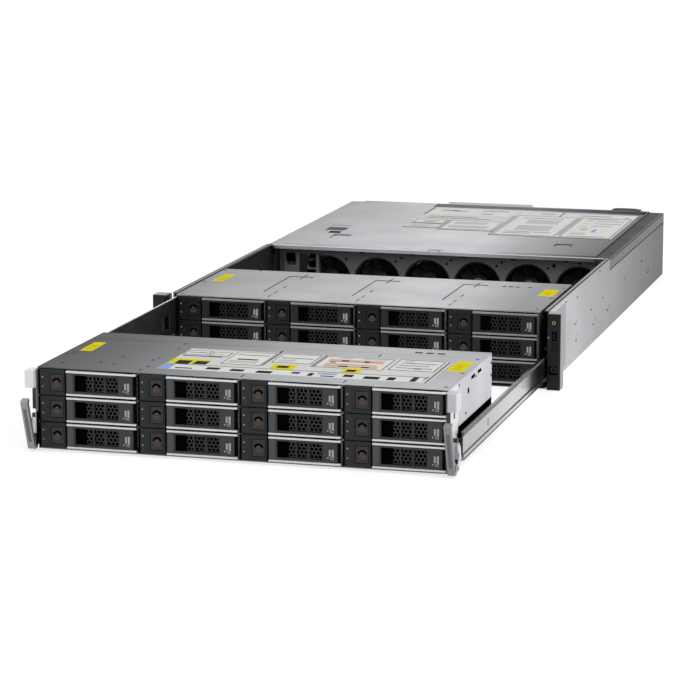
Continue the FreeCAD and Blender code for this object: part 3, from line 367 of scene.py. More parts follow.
# a bar: a flat outline carried straight along an axis; the two outline numbers are the other axes in order
def bar(outline, axis, start, end):
    flat = np.array(outline, float)
    count = len(flat)
    column = "xyz".index(axis)
    points = np.zeros((2 * count, 3))
    others = [n for n in range(3) if n != column]
    points[:, others] = np.tile(flat, (2, 1))
    points[:count, column], points[count:, column] = start, end
    ring = np.arange(count)
    after = np.roll(ring, -1)
    sides = np.stack([ring, after, after + count, ring + count], axis=1).tolist()
    return points, sides + [ring[::-1].tolist(), (ring + count).tolist()]


# a turned form: a profile of (radius, distance along the axis) carried round it
def turned(profile, centre, axis="y", steps=20, start=0.0, sweep=360.0):
    whole = sweep >= 359.9
    angles = np.radians(start + np.linspace(0, sweep, steps + 1))[: steps if whole else steps + 1]
    radius, along = np.array(profile, float).T
    column = "xyz".index(axis)
    others = [n for n in range(3) if n != column]
    points = np.zeros((len(angles), len(radius), 3))
    points[:, :, column] = along
    points[:, :, others[0]] = np.outer(np.cos(angles), radius)
    points[:, :, others[1]] = np.outer(np.sin(angles), radius)
    rows, cols = len(angles), len(radius)
    index = np.arange(rows * cols).reshape(rows, cols)
    ahead = np.roll(index, -1, axis=0) if whole else index[1:]
    here = index if whole else index[:-1]
    faces = np.stack([here[:, :-1], here[:, 1:], ahead[:, 1:], ahead[:, :-1]], axis=-1).reshape(-1, 4).tolist()
    if not whole:
        faces += [index[0].tolist(), index[-1][::-1].tolist()]
    return points.reshape(-1, 3) + np.array(centre, float), faces


# the span from a to b on the +X side, or its mirror on the other
def aside(sign, a, b):
    return tuple(sorted((sign * a, sign * b)))


# a plate with a rectangular window: two frames of four faces, joined by outer and inner walls.
# With a floor the window is a pocket whose bottom lies at that Y
def windowPlate(x, y, z, wx, wz, floor=None):
    outer = [(x[0], z[0]), (x[1], z[0]), (x[1], z[1]), (x[0], z[1])]
    inner = [(wx[0], wz[0]), (wx[1], wz[0]), (wx[1], wz[1]), (wx[0], wz[1])]
    back = y[1] if floor is None else floor
    points = [(a, y[0], b) for a, b in outer] + [(a, y[0], b) for a, b in inner]
    points += [(a, y[1], b) for a, b in outer] + [(a, back, b) for a, b in inner]
    faces = []
    for n in range(4):
        m = (n + 1) % 4
        faces += [[n, m, 4 + m, 4 + n], [4 + n, 4 + m, 12 + m, 12 + n], [n, 8 + n, 8 + m, m]]
        if floor is None:
            faces.append([8 + n, 12 + n, 12 + m, 8 + m])
    if floor is not None:
        faces += [[8, 11, 10, 9], [12, 13, 14, 15]]
    return np.array(points, float), faces


# a honeycomb screen: rows sqrt(3)/2 of the pitch apart, every other one moved by half a pitch; each cell is a
# ring between two hexagons, with a wall behind the inner one
def honeycomb(x, z, y, pitch, wall, depth):
    rowStep = pitch * math.sqrt(3) / 2
    columns = np.arange(int((x[1] - x[0]) / pitch) + 1)
    rows = np.arange(int((z[1] - z[0]) / rowStep) + 1)
    col, row = np.meshgrid(columns, rows)
    cx = (x[0] + (col + 0.5 * (row % 2)) * pitch).ravel()
    cz = (z[0] + row * rowStep).ravel()
    keep = (cx >= x[0]) & (cx <= x[1])
    cx, cz = cx[keep], cz[keep]
    angles = np.radians(np.arange(6) * 60 + 30)
    unit = np.stack([np.cos(angles), np.zeros(6), np.sin(angles)], axis=1)
    outer, inner = pitch / math.sqrt(3), (pitch - wall) / math.sqrt(3)
    cell = np.concatenate([unit * outer, unit * inner, unit * inner + [0, depth, 0], unit * outer + [0, depth, 0]])
    points = cell[None] + np.stack([cx, np.full_like(cx, y), cz], axis=1)[:, None]
    ring, after = np.arange(6), np.roll(np.arange(6), -1)
    quads = [np.stack([ring + 6 * a, after + 6 * a, after + 6 * b, ring + 6 * b], axis=1)
             for a, b in ((0, 1), (1, 2), (2, 3))]
    faces = (np.concatenate(quads)[None] + (np.arange(len(cx)) * 24)[:, None, None]).reshape(-1, 4)
    return points.reshape(-1, 3), faces.tolist()


# parts are (shape, finish name); the result holds all the points, faces and finish numbers.
# swap gives other finishes for some of the names
def gather(parts, swap=None):
    points, faces, looks, used, first = [], [], [], [], 0
    for (shapePoints, shapeFaces), look in parts:
        look = (swap or {}).get(look, look)
        if look not in used:
            used.append(look)
        points.append(shapePoints)
        faces += [[n + first for n in face] for face in shapeFaces]
        looks += [used.index(look)] * len(shapeFaces)
        first += len(shapePoints)
    return {"points": np.concatenate(points) * mm, "faces": faces, "looks": looks, "used": used}


# puts a gathered shape into a mesh object, moved by an offset in metres
def putPiece(name, shape, body, slot, offset=(0, 0, 0), bevel=0.0, smooth=False, outwards=True):
    mesh = bpy.data.meshes.new(name)
    mesh.from_pydata((shape["points"] + np.array(offset, float)).tolist(), [], shape["faces"])
    for look in shape["used"]:
        mesh.materials.append(paint[look])
    mesh.polygons.foreach_set("material_index", shape["looks"])
    if outwards:
        work = bmesh.new()
        work.from_mesh(mesh)
        bmesh.ops.remove_doubles(work, verts=work.verts, dist=1e-7)
        bmesh.ops.recalc_face_normals(work, faces=work.faces)
        work.to_mesh(mesh)
        work.free()
    if smooth:
        mesh.polygons.foreach_set("use_smooth", [True] * len(mesh.polygons))
        mesh.set_sharp_from_angle(angle=math.radians(35))
    piece = bpy.data.objects.new(name, mesh)
    bpy.context.scene.collection.objects.link(piece)
    if bevel:
        edge = piece.modifiers.new("softEdges", "BEVEL")
        edge.width, edge.segments, edge.limit_method = bevel * mm, 2, "ANGLE"
        edge.angle_limit = math.radians(40)
    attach(piece, body)
    return piece


# Drive carriers. X from the carrier's left side, Y from its face, Z from its underside
carrierSizes = {
    "width": 105.25, "height": 26.533, "gap": 0.5,
    "block": 28.6, "blockDepth": 16.0, "pocket": (12.7, 27.2, 4.2, 22.3), "pocketDepth": 2.4,
    "lamps": ((4.9, 18.6), (4.9, 8.8)), "lampRadius": 0.85, "lampStrip": (2.3, 9.6, 1.6, 24.9),
    "ring": (20.0, 13.2), "handleLeft": 30.4, "handleRight": 101.45, "panel": 3.0,
    "window": (39.0, 86.0, 4.75, 21.78), "bars": ((58.4, 59.5), (70.6, 71.7)),
    "trimHeight": 2.0, "trimProud": 1.0, "screenFrom": 51.0, "hexPitch": 4.3, "hexWall": 1.0,
    "tray": 1.825, "driveLength": 147.0,
    "stripProud": 0.12, "lampPlace": -0.1, "lampDome": ((1.0, 0.1), (1.0, -0.2), (0.6, -0.42), (0, -0.5)),
    # the button's dish: the black upper arc is its painted shadow, the pale lower arc its painted highlight; the
    # copper ring and the dark red centre are its own colours
    "rings": [("black", 14, 12, 156, [(3.0, 0.4), (3.0, -0.06), (5.0, -0.06), (5.0, 0.4)]),
              ("buttonRing", 14, 200, 140, [(3.3, 0.4), (3.3, -0.05), (4.3, -0.05), (4.3, 0.4)]),
              ("copper", 20, 0, 360, [(1.5, 0.4), (1.5, -0.2), (1.8, -0.35), (2.2, -0.2), (2.3, 0.4)]),
              ("darkRed", 14, 0, 360, [(1.55, 0.4), (1.5, -0.1), (0, -0.12)])],
    "marks": ((93.0, 95.0, 9.5, 16.0), (96.0, 98.2, 8.2, 16.4), (91.2, 92.6, 7.0, 8.4), (94.4, 95.4, 6.2, 8.4),
              (96.0, 98.0, 6.0, 7.0)),
    "ribs": (0.42, 0.7), "ribHalf": 0.45, "ridge": (0.8, 6.9, 3.4), "trayShort": 6,
    # finish, inset from the tray's sides, from the front, from the rear end, and both heights down from the top
    "driveSheets": [("driveTop", 1.5, 2, 14, 1.4, 0.3), ("labelPale", 14, 40, 30, 0.3, 0.2)],
}
# the second bay's carriers take darker copies of the same finishes, painted shade of the tunnel they stand in; the
# ridge takes the darker handle
shadedCopyLooks = {look: look + "Second" for look in ("block", "handle", "screen", "trim", "lampStrip", "button")}
shadedCopyLooks["handleRidge"] = "handleSecond"


# the release block with its button pocket, the handle with its window, and the two bright strips
def carrierBody(s, swap):
    high, depth, gap, panel = s["height"], s["blockDepth"], s["gap"], s["panel"]
    px0, px1, pz0, pz1 = s["pocket"]
    wx0, wx1, wz0, wz1 = s["window"]
    left, right = s["handleLeft"], s["handleRight"]
    parts = [
        (windowPlate((0, s["block"]), (0, depth), (0, high), (px0, px1), (pz0, pz1), s["pocketDepth"]), "block"),
        boxed("button", px0 + gap, px1 - gap, 0.3, s["pocketDepth"] - 0.05, pz0 + gap, pz1 - gap),
        (windowPlate((left, right), (0, panel), (gap, high - gap), (wx0, wx1), (wz0, wz1)), "handle"),
        # painted shade: a near-black block at the handle's right end for its shaded side
        boxed("carrierEdge", right - s["tray"], right, panel + 0.02, depth - s["tray"], gap, high - gap),
    ]
    parts += [(block(span, (0.6, panel - 0.4), (wz0 - 0.2, wz1 + 0.2)), "handle") for span in s["bars"]]
    for low in (gap, high - gap - s["trimHeight"]):
        parts.append(boxed("trim", left, s["width"], -s["trimProud"], panel, low, low + s["trimHeight"]))
    return gather(parts, swap)


# lamps, the ring on the button with a painted shadow and a painted highlight, printed marks, black sheets of painted
# shade in the dark space behind the window, the tray and its drive
def carrierDetails(s, swap):
    high, wide, depth, tray, panel = s["height"], s["width"], s["blockDepth"], s["tray"], s["panel"]
    left, right, back = s["handleLeft"], s["handleRight"], s["blockDepth"] + s["driveLength"]
    x0, x1, z0, z1 = s["lampStrip"]
    parts = [boxed("lampStrip", x0, x1, -s["stripProud"], 0.3, z0, z1),
             boxed("black", 0.05, x0 - 0.1, -s["stripProud"] / 2, 0.3, 0.4, high - 0.4)]
    dome = [(share * s["lampRadius"], along) for share, along in s["lampDome"]]
    for (x, z), look in zip(s["lamps"], ("lampWhite", "lampGreen")):
        parts.append((turned(dome, (x, s["lampPlace"], z), steps=12), look))
    x, z = s["ring"]
    parts += [(turned(profile, (x, 0, z), "y", steps, start, sweep), look)
              for look, steps, start, sweep, profile in s["rings"]]
    wx0, wx1, wz0, wz1 = s["window"]
    # painted shade: a black sheet in the open left part of the window
    parts.append(boxed("black", wx0 - 1.5, s["screenFrom"] - 0.3, panel + 0.1, panel + 0.9, wz0 - 2, wz1 + 2))
    for share in s["ribs"]:
        middle, half = wx0 + share * (wx1 - wx0), s["ribHalf"]
        parts.append(boxed("handleRidge", middle - half, middle + half, panel - 0.6, panel + 0.9, wz0 - 1, wz1 + 1))
    # painted shade: a black sheet across the carrier's inside behind the handle
    parts.append(boxed("black", left, right - tray, depth - tray - 0.3, depth - tray, 1.6, high - 1.6))
    ridgeLeft, ridgeRight, ridgeLow = s["ridge"]
    parts.append(boxed("handleRidge", left + ridgeLeft, left + ridgeRight, -0.14, 0.2, ridgeLow, high - ridgeLow))
    parts += [(block(mark[:2], (-0.08, 0.2), mark[2:]), "print") for mark in s["marks"]]
    parts.append(boxed("tray", 0.4, right, depth - tray, depth, tray, high - tray))
    parts += [(block(span, (depth, back - s["trayShort"]), (1.3, high - 1.3)), "tray")
              for span in ((0.1, tray), (wide - tray, wide - 0.1))]
    parts.append(boxed("drive", tray, wide - tray, depth + 0.1, back, 0.2, high - s["driveSheets"][0][4]))
    for look, inset, start, end, low, top in s["driveSheets"]:
        parts.append(boxed(look, tray + inset, wide - tray - inset, depth + start, back - end, high - low, high - top))
    return gather(parts, swap)


# the hexagon screen behind the window
def carrierScreen(s, swap):
    x1, z0, z1 = s["window"][1:]
    shape = honeycomb((s["screenFrom"], x1 + 1.0), (z0 - 1.0, z1 + 2.0), s["panel"] + 0.4, s["hexPitch"],
                      s["hexWall"], 1.0)
    return gather([(shape, "screen")], swap)


for bay, swap in (("front", None), ("second", shadedCopyLooks)):
    shapes = [make(carrierSizes, swap) for make in (carrierBody, carrierDetails, carrierScreen)]
    for column in "abcd":
        for row in "123":
            low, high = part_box(f"{bay}_carrier_{column}{row}")
            offset = (low.x, low.y + carrierSizes["trimProud"] * mm, low.z)
            tag = f"{bay}Carrier{column.upper()}{row}"
            place = (f"{bay}_drive_{column}{row}", "carrier_plastic", offset)
            shell = putPiece(tag, shapes[0], *place, bevel=0.35)
            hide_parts(f"{bay}_carrier_{column}{row}")
            putPiece(tag + "Details", shapes[1], *place, smooth=True)
            putPiece(tag + "Screen", shapes[2], *place, outwards=False)
print("carriers: 24")


# Labels, stickers and marks: thin sheets on the lids
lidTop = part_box("front_bay_lid")[1].z / mm
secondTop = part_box("second_bay_lid")[1].z / mm
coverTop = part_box("top_cover")[1].z / mm
borderTop = coverTop - 1.4
paper = 0.04


# a sheet with four corners: two on the front edge from left to right, two on the rear edge.
# layer 0 lies on the surface, and each further layer on the one below
def sheetOf(corners, top, layer=0):
    return bar(corners, "z", top - 0.02, top + paper * (layer + 1))


# the corners of a rectangle from its low and high corner
def rectangle(x0, y0, x1, y1):
    return [(x0, y0), (x1, y0), (x1, y1), (x0, y1)]


# the outline of a panel as four thin lines; a line along X is wider than one along Y
def outlineOf(x0, y0, x1, y1, wide, top, layer, look="labelLine"):
    deep = 1.8 * wide
    lines = [(x0, y0, x1, y0 + deep), (x0, y1 - deep, x1, y1), (x0, y0, x0 + wide, y1), (x1 - wide, y0, x1, y1)]
    return [(sheetOf(rectangle(*line), top, layer), look) for line in lines]


# a chart of bare panels and plain blocks: bases, panels with outlines, then blocks by finish
def chartParts(s, top):
    parts = [(sheetOf(rectangle(*area), top, look == "labelPale"), look) for look, area in s["bases"]]
    for panel in s["panels"]:
        parts.append((sheetOf(rectangle(*panel), top, 2), "labelPale"))
        parts += outlineOf(*panel, s["line"], top, 3)
    for look, areas in s["blocks"].items():
        layer = 5 if look == "labelDark" else 4
        parts += [(sheetOf(rectangle(*area), top, layer), look) for area in areas]
    return parts


frontChart = {
    "line": 0.9,
    "bases": [("labelGrey", (-94.0, -812.0, 188.0, -703.0)), ("labelPale", (-82.0, -812.0, 180.0, -786.0))],
    "panels": [(-93, -735, -67, -712), (-64, -738, -44, -716), (-40, -773, 2, -708), (56, -763, 128, -706),
               (133, -758, 181, -704), (8, -752, 50, -706)],
    "blocks": {
        "labelLine": [(3.2, -771, 4.8, -701), (53.2, -763, 54.8, -703), (-91, -742.5, -48, -739.5),
                      (184.5, -812, 186, -704), (-82, -787, 180, -785.4), (64, -745, 118, -742.6),
                      (138, -746, 176, -743.6), (138, -734, 170, -731.6), (138, -722, 176, -719.6),
                      (-36, -724, -2, -721.5), (-90, -724, -70, -721.6), (12, -728, 46, -725.6)],
        "labelMid": [(-36, -765, -4, -752), (12, -746, 30, -734), (140, -716, 150, -708), (-62, -732, -48, -726),
                     (70, -716, 84, -709), (96, -716, 122, -709)],
        "labelBlue": [(-95, -815, -83, -784), (70, -798, 90, -791), (158, -752, 166, -747)],
        "labelYellow": [(-94, -782, -54, -758), (15, -785, 40, -761), (90, -784, 109, -762)],
        "labelOrange": [(63, -732, 121, -720), (64, -758, 121, -749)],
        "labelBrown": [(76, -729, 84, -723), (100, -729, 106, -723), (80, -756, 90, -751), (104, -756, 112, -751)],
        "labelDark": [(-86, -784, -71, -766), (-67, -782, -53, -766), (-78, -806, -60, -802), (-46, -804, -32, -794),
                      (-20, -806, -6, -796), (8, -808, 24, -797), (21, -778, 33, -767), (44, -802, 52, -794),
                      (62, -808, 67, -795), (76, -808, 90, -804), (94, -779, 104, -768), (98, -804, 108, -793),
                      (120, -808, 136, -796), (144, -808, 152, -794), (168, -809, 174, -788),
                      (-30, -748, -8, -743), (66, -737, 72, -733)],
    },
}
coverChart = {
    "line": 0.9,
    "bases": [("labelGrey", (-93, 180, -43, 366)), ("labelGrey", (-43.2, 170, 34, 366)),
              ("labelGrey", (33.8, 141.5, 197, 360)), ("labelPale", (-88, 306, 30, 364)),
              ("labelPale", (36, 330, 196, 358))],
    "panels": [(-89, 222, -47, 256), (-41, 178, 30, 255), (38, 150, 120, 322), (127, 150, 194, 322)],
    "blocks": {
        "labelLine": [(-91, 217, -46.7, 219.6), (-93, 180, -43, 183), (-43.6, 170, 34, 172.6), (34, 141.5, 197, 144.4),
                      (33.4, 142, 34.6, 312), (122.9, 166, 124.1, 323), (-44.6, 177, -43.4, 255),
                      (-80, 270, 8, 272.4), (-80, 284, -14, 286.4), (-76, 240, -56, 242.6), (-76, 230, -60, 232.6),
                      (48, 166, 84, 168.8), (48, 178, 110, 180.6), (48, 300, 104, 302.8), (136, 158, 186, 160.6),
                      (136, 312, 176, 314.6), (152, 272, 188, 274.4), (152, 250, 180, 252.4), (64, 342, 84, 345),
                      (120, 338, 164, 341), (-60, 338, -40, 341), (-20, 348, 18, 351)],
        "labelMid": [(56, 192, 104, 236), (60, 252, 104, 288), (-34, 190, 20, 212), (-32, 224, 12, 244),
                     (136, 174, 156, 190), (150, 292, 188, 300), (-84, 190, -60, 206), (142, 210, 152, 232)],
        "labelOrange": [(135.4, 295, 148, 299.6), (136.6, 268, 148, 272), (135.4, 243, 146, 247)],
        "labelBlue": [(27, 303, 36, 307), (160, 197, 165, 223), (183, 330, 189, 336)],
        "labelDark": [(-92.8, 301, -91.2, 366), (92.8, 323, 94.4, 364), (-76, 342, -52, 345.4), (-16, 320, 0, 323)],
    },
}
putPiece("frontChart", gather(chartParts(frontChart, lidTop)), "front_bay", "lid_steel")
putPiece("coverChart", gather(chartParts(coverChart, coverTop)), "cover", "lid_steel")

stickerLines = {"half": 4, "rows": (-13, -4, 5), "wide": 1.4}
stickers = {
    "frontStickers": ("front_bay", lidTop, [[(-204, -745), (-190, -745), (-191, -697), (-204, -697)],
                                            [(191, -748), (209, -748), (208, -697), (191.5, -697)]]),
    "secondStickers": ("second_bay", secondTop, [[(-205, -297), (-191, -297), (-191, -248), (-204, -248)],
                                                 [(191, -296), (209, -296), (208, -251), (191, -251)]]),
}
for name, (body, top, corners) in stickers.items():
    parts = [(sheetOf(corner, top, 0), "labelYellow") for corner in corners]
    for corner in corners:
        x, y = np.mean(corner, axis=0)
        half, wide = stickerLines["half"], stickerLines["wide"]
        parts += [(sheetOf(rectangle(x - half, y + row, x + half, y + row + wide), top, 1), "labelBrown")
                  for row in stickerLines["rows"]]
    putPiece(name, gather(parts), body, "lid_steel")

# Lines pressed into the lids, as dark sheets of painted shade: rows of X places, Y places, width and length. The long
# ones follow the grooves of the solids
lidMarks = {
    "secondRows": [((-123.85, -16.6, 90.65), (-351.5,), 1.6, 110), ((-123.85, -16.6, 90.65), (-244.0,), 30.3, 3.8),
                   ((-107, 0, 107), (-259,), 1.4, 34), ((-108.6, -2.5, 106.5), (-386, -362, -325), 1.3, 15),
                   ((138, 146, 154), (-246,), 5.5, 5), ((169,), (-244,), 5, 4)],
    "frontRows": [((1.5,), (-702,), 1.4, 13), ((106,), (-695,), 1.4, 13), ((0,), (-832,), 1.4, 13),
                  ((106,), (-831,), 1.4, 13)],
    "frontDots": [(-160, -798), (-148, -765), (-143, -805), (-108, -824), (-106, -806), (-112, -773), (-110, -761),
                  (-106, -710), (-108, -682), (-206, -755), (-197, -811)],
    "dotHalf": (1.5, 2), "frontSlots": [((138, 150, 162), (-666,), 8, 6)],
    "frontSlant": [(177.2, -813), (178.8, -813), (182.8, -781), (181.2, -781)],
}


# a rectangle at every X with every Y of each row
def rowsOf(rows):
    return [rectangle(x, y, x + wide, y + long) for xs, ys, wide, long in rows for x in xs for y in ys]


dotX, dotY = lidMarks["dotHalf"]
dots = [rectangle(x - dotX, y - dotY, x + dotX, y + dotY) for x, y in lidMarks["frontDots"]]
frontMarks = rowsOf(lidMarks["frontRows"]) + dots + rowsOf(lidMarks["frontSlots"]) + [lidMarks["frontSlant"]]
for name, marks, top, body in (("secondLidMarks", rowsOf(lidMarks["secondRows"]), secondTop, "second_bay"),
                               ("frontLidMarks", frontMarks, lidTop, "front_bay")):
    putPiece(name, gather([(sheetOf(mark, top), "groove") for mark in marks]), body, "lid_steel")
print("labels and marks ready")


# Screws: head and cross in shares of the radius, heights in mm
screwSizes = {"head": ((1, -0.3), (1, 0.12), (0.75, 0.24), (0, 0.24)), "cross": (0.16, 0.55), "crossTop": 0.27,
              "lidRadius": 2.3}


# a low turned head with two crossed black bars in it, painted shade of the cross recess; the bars' half sizes swap
# places for the second one
def screwParts(place, axis, radius):
    column = "xyz".index(axis)
    head = [(radius * share, along) for share, along in screwSizes["head"]]
    parts = [(turned(head, place, axis, 14), "screw")]
    wide, long = [radius * share for share in screwSizes["cross"]]
    for halves in ((wide, long), (long, wide)):
        halves = list(halves)
        halves.insert(column, 0)
        span = [(middle - half, middle + half) for middle, half in zip(place, halves)]
        span[column] = (place[column], place[column] + screwSizes["crossTop"])
        parts.append((block(*span), "black"))
    return parts


lidScrews = {
    "frontLidScrews": ("front_bay", lidTop, [(209, -683), (210, -755), (210, -825), (-209, -683), (-210, -762),
                                             (-210, -825)]),
    "secondLidScrews": ("second_bay", secondTop, [(210, -236), (210, -307), (209, -381), (-211, -306), (-210, -390),
                                                  (-212, -220), (-170, -212)]),
}
for name, (body, top, places) in lidScrews.items():
    parts = []
    for x, y in places:
        parts += screwParts((x, y, top), "z", screwSizes["lidRadius"])
    putPiece(name, gather(parts), body, "zinc_steel", smooth=True)
print("screws ready")


# System cover: fine bars over the air openings, front notch, latch plates, pull recesses; dark lines at the notch and
# the recesses are painted shade
grille = {"x": (-98.0, 201.5), "y": (371.5, 403.5), "pitch": 4.4, "wide": 1.4, "low": 86.7, "top": 86.86,
          "openings": 7, "between": 3.0, "dark": 85.35}


# the bars are equal strips a pitch apart over a black sheet, painted shade of the dark inside; dark sheets of painted
# shade cover the wider bars of the solid between two openings
def grilleParts(s):
    (x0, x1), (y0, y1) = s["x"], s["y"]
    starts = np.arange(x0, x1 - s["wide"] / 2, s["pitch"])
    parts = [boxed("cover", x, x + s["wide"], y0, y1, s["low"], s["top"]) for x in starts]
    parts.append(boxed("black", x0, x1, y0 + 0.05, y1 - 0.05, s["dark"], s["low"] + 0.06))
    step = (x1 - x0 + s["between"]) / s["openings"]
    for number in range(1, s["openings"]):
        right = x0 + number * step
        parts.append((sheetOf(rectangle(right - s["between"], y0, right, y1), coverTop), "black"))
    return parts


putPiece("coverGrille", gather(grilleParts(grille)), "cover", "lid_steel")

# finish, layer and area of each plate; the black one is painted shade in the gap
latchPlates = [("cover", 7, -179.8, 115.0, -175.0, 120.0), ("black", 2, -175.0, 115.0, -164.2, 120.0),
               ("cover", 7, -179.8, 120.0, -164.2, 127.0), ("latch", 7, -184.8, 127.0, -159.2, 154.0),
               ("cover", 7, -184.8, 154.0, -159.2, 169.2)]
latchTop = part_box("cover_latch")[1].z / mm
putPiece("latchPlates", gather([(sheetOf(rectangle(*area), latchTop, layer), look)
                                for look, layer, *area in latchPlates]), "cover_latch_lever", "latch_plastic")
wellRims = [(-185.35, 103.15, -175.0, 114.2), (-185.35, 114.2, -180.4, 126.6), (-163.6, 120.0, -158.65, 126.6)]
rimDeep = 0.6

# painted shade at the front notch and in the pull recesses: finish, height of the surface, layer, and the sheets
coverMarks = [
    ("labelLine", borderTop, 1, [(-11.6, -6.8, -10.2, 3.0), (-11.6, 3.0, 3.6, 6.4), (2.2, -6.8, 3.6, 3.0)]),
    ("labelDark", coverTop, 1, [(136, 70.4, 137.4, 90), (136, 87.5, 159, 89.8), (157.5, 70.4, 159, 74),
                                (-161.2, 62.4, -159.6, 90), (-161.2, 88.8, -138.1, 92.4)]),
]
# painted highlight along the cover's front lip: the cover's metal, brighter
coverLip = (-216, -6.9, 216, -1.6)
# painted shade: a black floor in the latch well
wellFloor = ((-185.3, -158.7), (103.2, 114.4), (79.9, 80.1))
parts = [(sheetOf(rectangle(*area), top, layer), look) for look, top, layer, areas in coverMarks for area in areas]
parts += [boxed("cover", x0, x1, y0, y1, coverTop - rimDeep, coverTop) for x0, y0, x1, y1 in wellRims]
parts += [(sheetOf(rectangle(*coverLip), borderTop, 0), "lipBright"), (block(*wellFloor), "black")]
putPiece("coverMarks", gather(parts), "cover", "lid_steel")
print("cover ready")


# Marks on the right and left sides: dark sheets, painted shade of dimples, holes and the rail's grooves, a wide dark
# band of painted shadow from the rail on the front bay, and gap lines. X of the surface, then Y, Z and half sizes of
# each mark
sideShadeMarks = {
    "chassis": {
        "surface": 224.0, "look": "black",
        "dots": [(-221, 74), (-53, 44.8), (-132, 43.6), (-21, 23.5), (-234, 44), (-117, 22.7), (-299, 45),
                 (-225, 22.4), (227, 46), (278, 23), (-311, 56), (-314, 14.4), (-76, 82), (-290, 80)],
        "half": (2.6, 1.1),
        "lines": [(-7, 407, 71.9, 73.1), (-7, 398, 84.3, 85.35)],
    },
    "frontBay": {
        "surface": 215.0, "look": "black",
        "dots": [(-715.8, 76.6), (-645.5, 76.8), (-645.5, 63.7), (-759.7, 47.1)],
        "half": (2.0, 1.5),
        "lines": [(-707.5, -691.5, 77.2, 80.8), (-736.7, -720.7, 77.0, 80.6), (-753, -746, 65.5, 71.1),
                  (-795.5, -789, 80.6, 83.6), (-841.4, -642.6, 6.0, 40.4)],
    },
    "rail": {"surface": 220.6, "look": "railLine", "dots": [(-682.5, 22.0)], "half": (1.2, 4.0),
             "lines": [(-795.5, -195.5, 12.4, 13.7), (-795.5, -195.5, 31.0, 31.9)]},
}


# the same marks on both sides: X of the surface and its mirror
def sideSheets(s):
    parts = []
    for sign in (1, -1):
        span = aside(sign, s["surface"] - 0.02, s["surface"] + 0.06)
        dx, dz = s["half"]
        spots = [(y - dx, y + dx, z - dz, z + dz) for y, z in s["dots"]] + s["lines"]
        parts += [(block(span, (y0, y1), (z0, z1)), s["look"]) for y0, y1, z0, z1 in spots]
    return parts


rimSizes = {"left": (217.6, 222.6, -219.0, -224.0), "wide": 1.4, "y": (-386, -7.6)}
rimLines = [(sheetOf(rectangle(x, rimSizes["y"][0], x + rimSizes["wide"], rimSizes["y"][1]), coverTop), "black")
            for x in rimSizes["left"]]
putPiece("chassisMarks", gather(sideSheets(sideShadeMarks["chassis"]) + rimLines), "chassis", "zinc_steel")
putPiece("frontBayMarks", gather(sideSheets(sideShadeMarks["frontBay"])), "front_bay", "zinc_steel")

# Slide rails of the front bay: a thin web between two beads, on pressed pads. X, Z outline on the +X side
railSizes = {
    "outline": [(218.4, 6.6), (221.6, 6.6), (221.6, 12.0), (220.6, 12.4), (220.6, 32.0), (221.6, 32.4), (221.6, 35.8),
                (218.4, 35.8), (218.4, 35.0), (219.6, 35.0), (219.6, 7.5), (218.4, 7.5)],
    "y": (-795.5, -195.5), "pads": (6.0, 62.0, 118.0), "padLength": 14.0, "padZ": (18.0, 28.0),
    "padX": (215.0, 219.8), "bands": [("railTop", 32.8, 35.7), ("railLine", 7.6, 8.7)], "bandX": 221.6,
}


# each side: the outline carried along Y, two bands of painted shade on it, and the pads on the cage
def railParts(s):
    parts = []
    for sign in (1, -1):
        parts.append((bar([(sign * x, z) for x, z in s["outline"]], "y", *s["y"]), "rail"))
        band = aside(sign, s["bandX"] - 0.1, s["bandX"] + 0.04)
        parts += [(block(band, s["y"], (low, high)), look) for look, low, high in s["bands"]]
        for place in s["pads"]:
            start = s["y"][0] + place
            parts.append((block(aside(sign, *s["padX"]), (start, start + s["padLength"]), s["padZ"]), "rail"))
    return parts


rails = putPiece("bayRails", gather(railParts(railSizes) + sideSheets(sideShadeMarks["rail"])), "front_bay", "slide_steel")
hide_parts("bay_rails")
# painted highlight: a bright strip along the side plate's top edge
putPiece("sidePlateEdge", gather([boxed("trim", -216.75, -215.2, -775.2, -342.8, 83.2, 83.9)]),
         "front_bay", "zinc_steel")


# Lever brackets: the cap, the side plate, and the fork beside the lever, open between cap and fork
bracketSizes = {
    "plate": (215.0, 215.8), "cap": (215.8, 225.7), "capY": (-845.5, -827.5), "capZ": (66.0, 84.0), "capBevel": 0.8,
    "plateOutline": [(-841.5, 36), (-841.5, 85.2), (-795.9, 85.2), (-795.9, 40), (-812, 3), (-833, 3), (-835.5, 20)],
    "lip": ((215.0, 218.6), (-841.9, -841.5), 44.0), "fork": (224.5, 225.7),
    "forkOutline": [(-831.8, 33), (-838.5, 31), (-838.0, 26), (-831.5, 20), (-834.5, 13), (-840.5, 11.5), (-841, 5.5),
                    (-837, 4.5), (-829.5, 9), (-825.5, 18), (-826.5, 26)],
    "web": ((-833.0, -831.8), (16.5, 33.0)), "pin": (-838.0, 8.5, 2.0), "pinHead": 2.6,
    "hinge": (216.0, 223.5), "hingeOutline": [(-831.8, 5), (-826.4, 5), (-826.4, 33), (-828, 37), (-831.8, 37)],
    "knob": (217.2, -836.0), "knobProfile": [(1.3, 0), (1.3, -1.6), (0.8, -2.0), (0, -2.0)],
    "slots": [(-816.5, -811.5, 53.0, 58.6), (-798.0, -796.2, 39.0, 45.0), (-801.5, -798.5, 30.0, 35.0)],
}


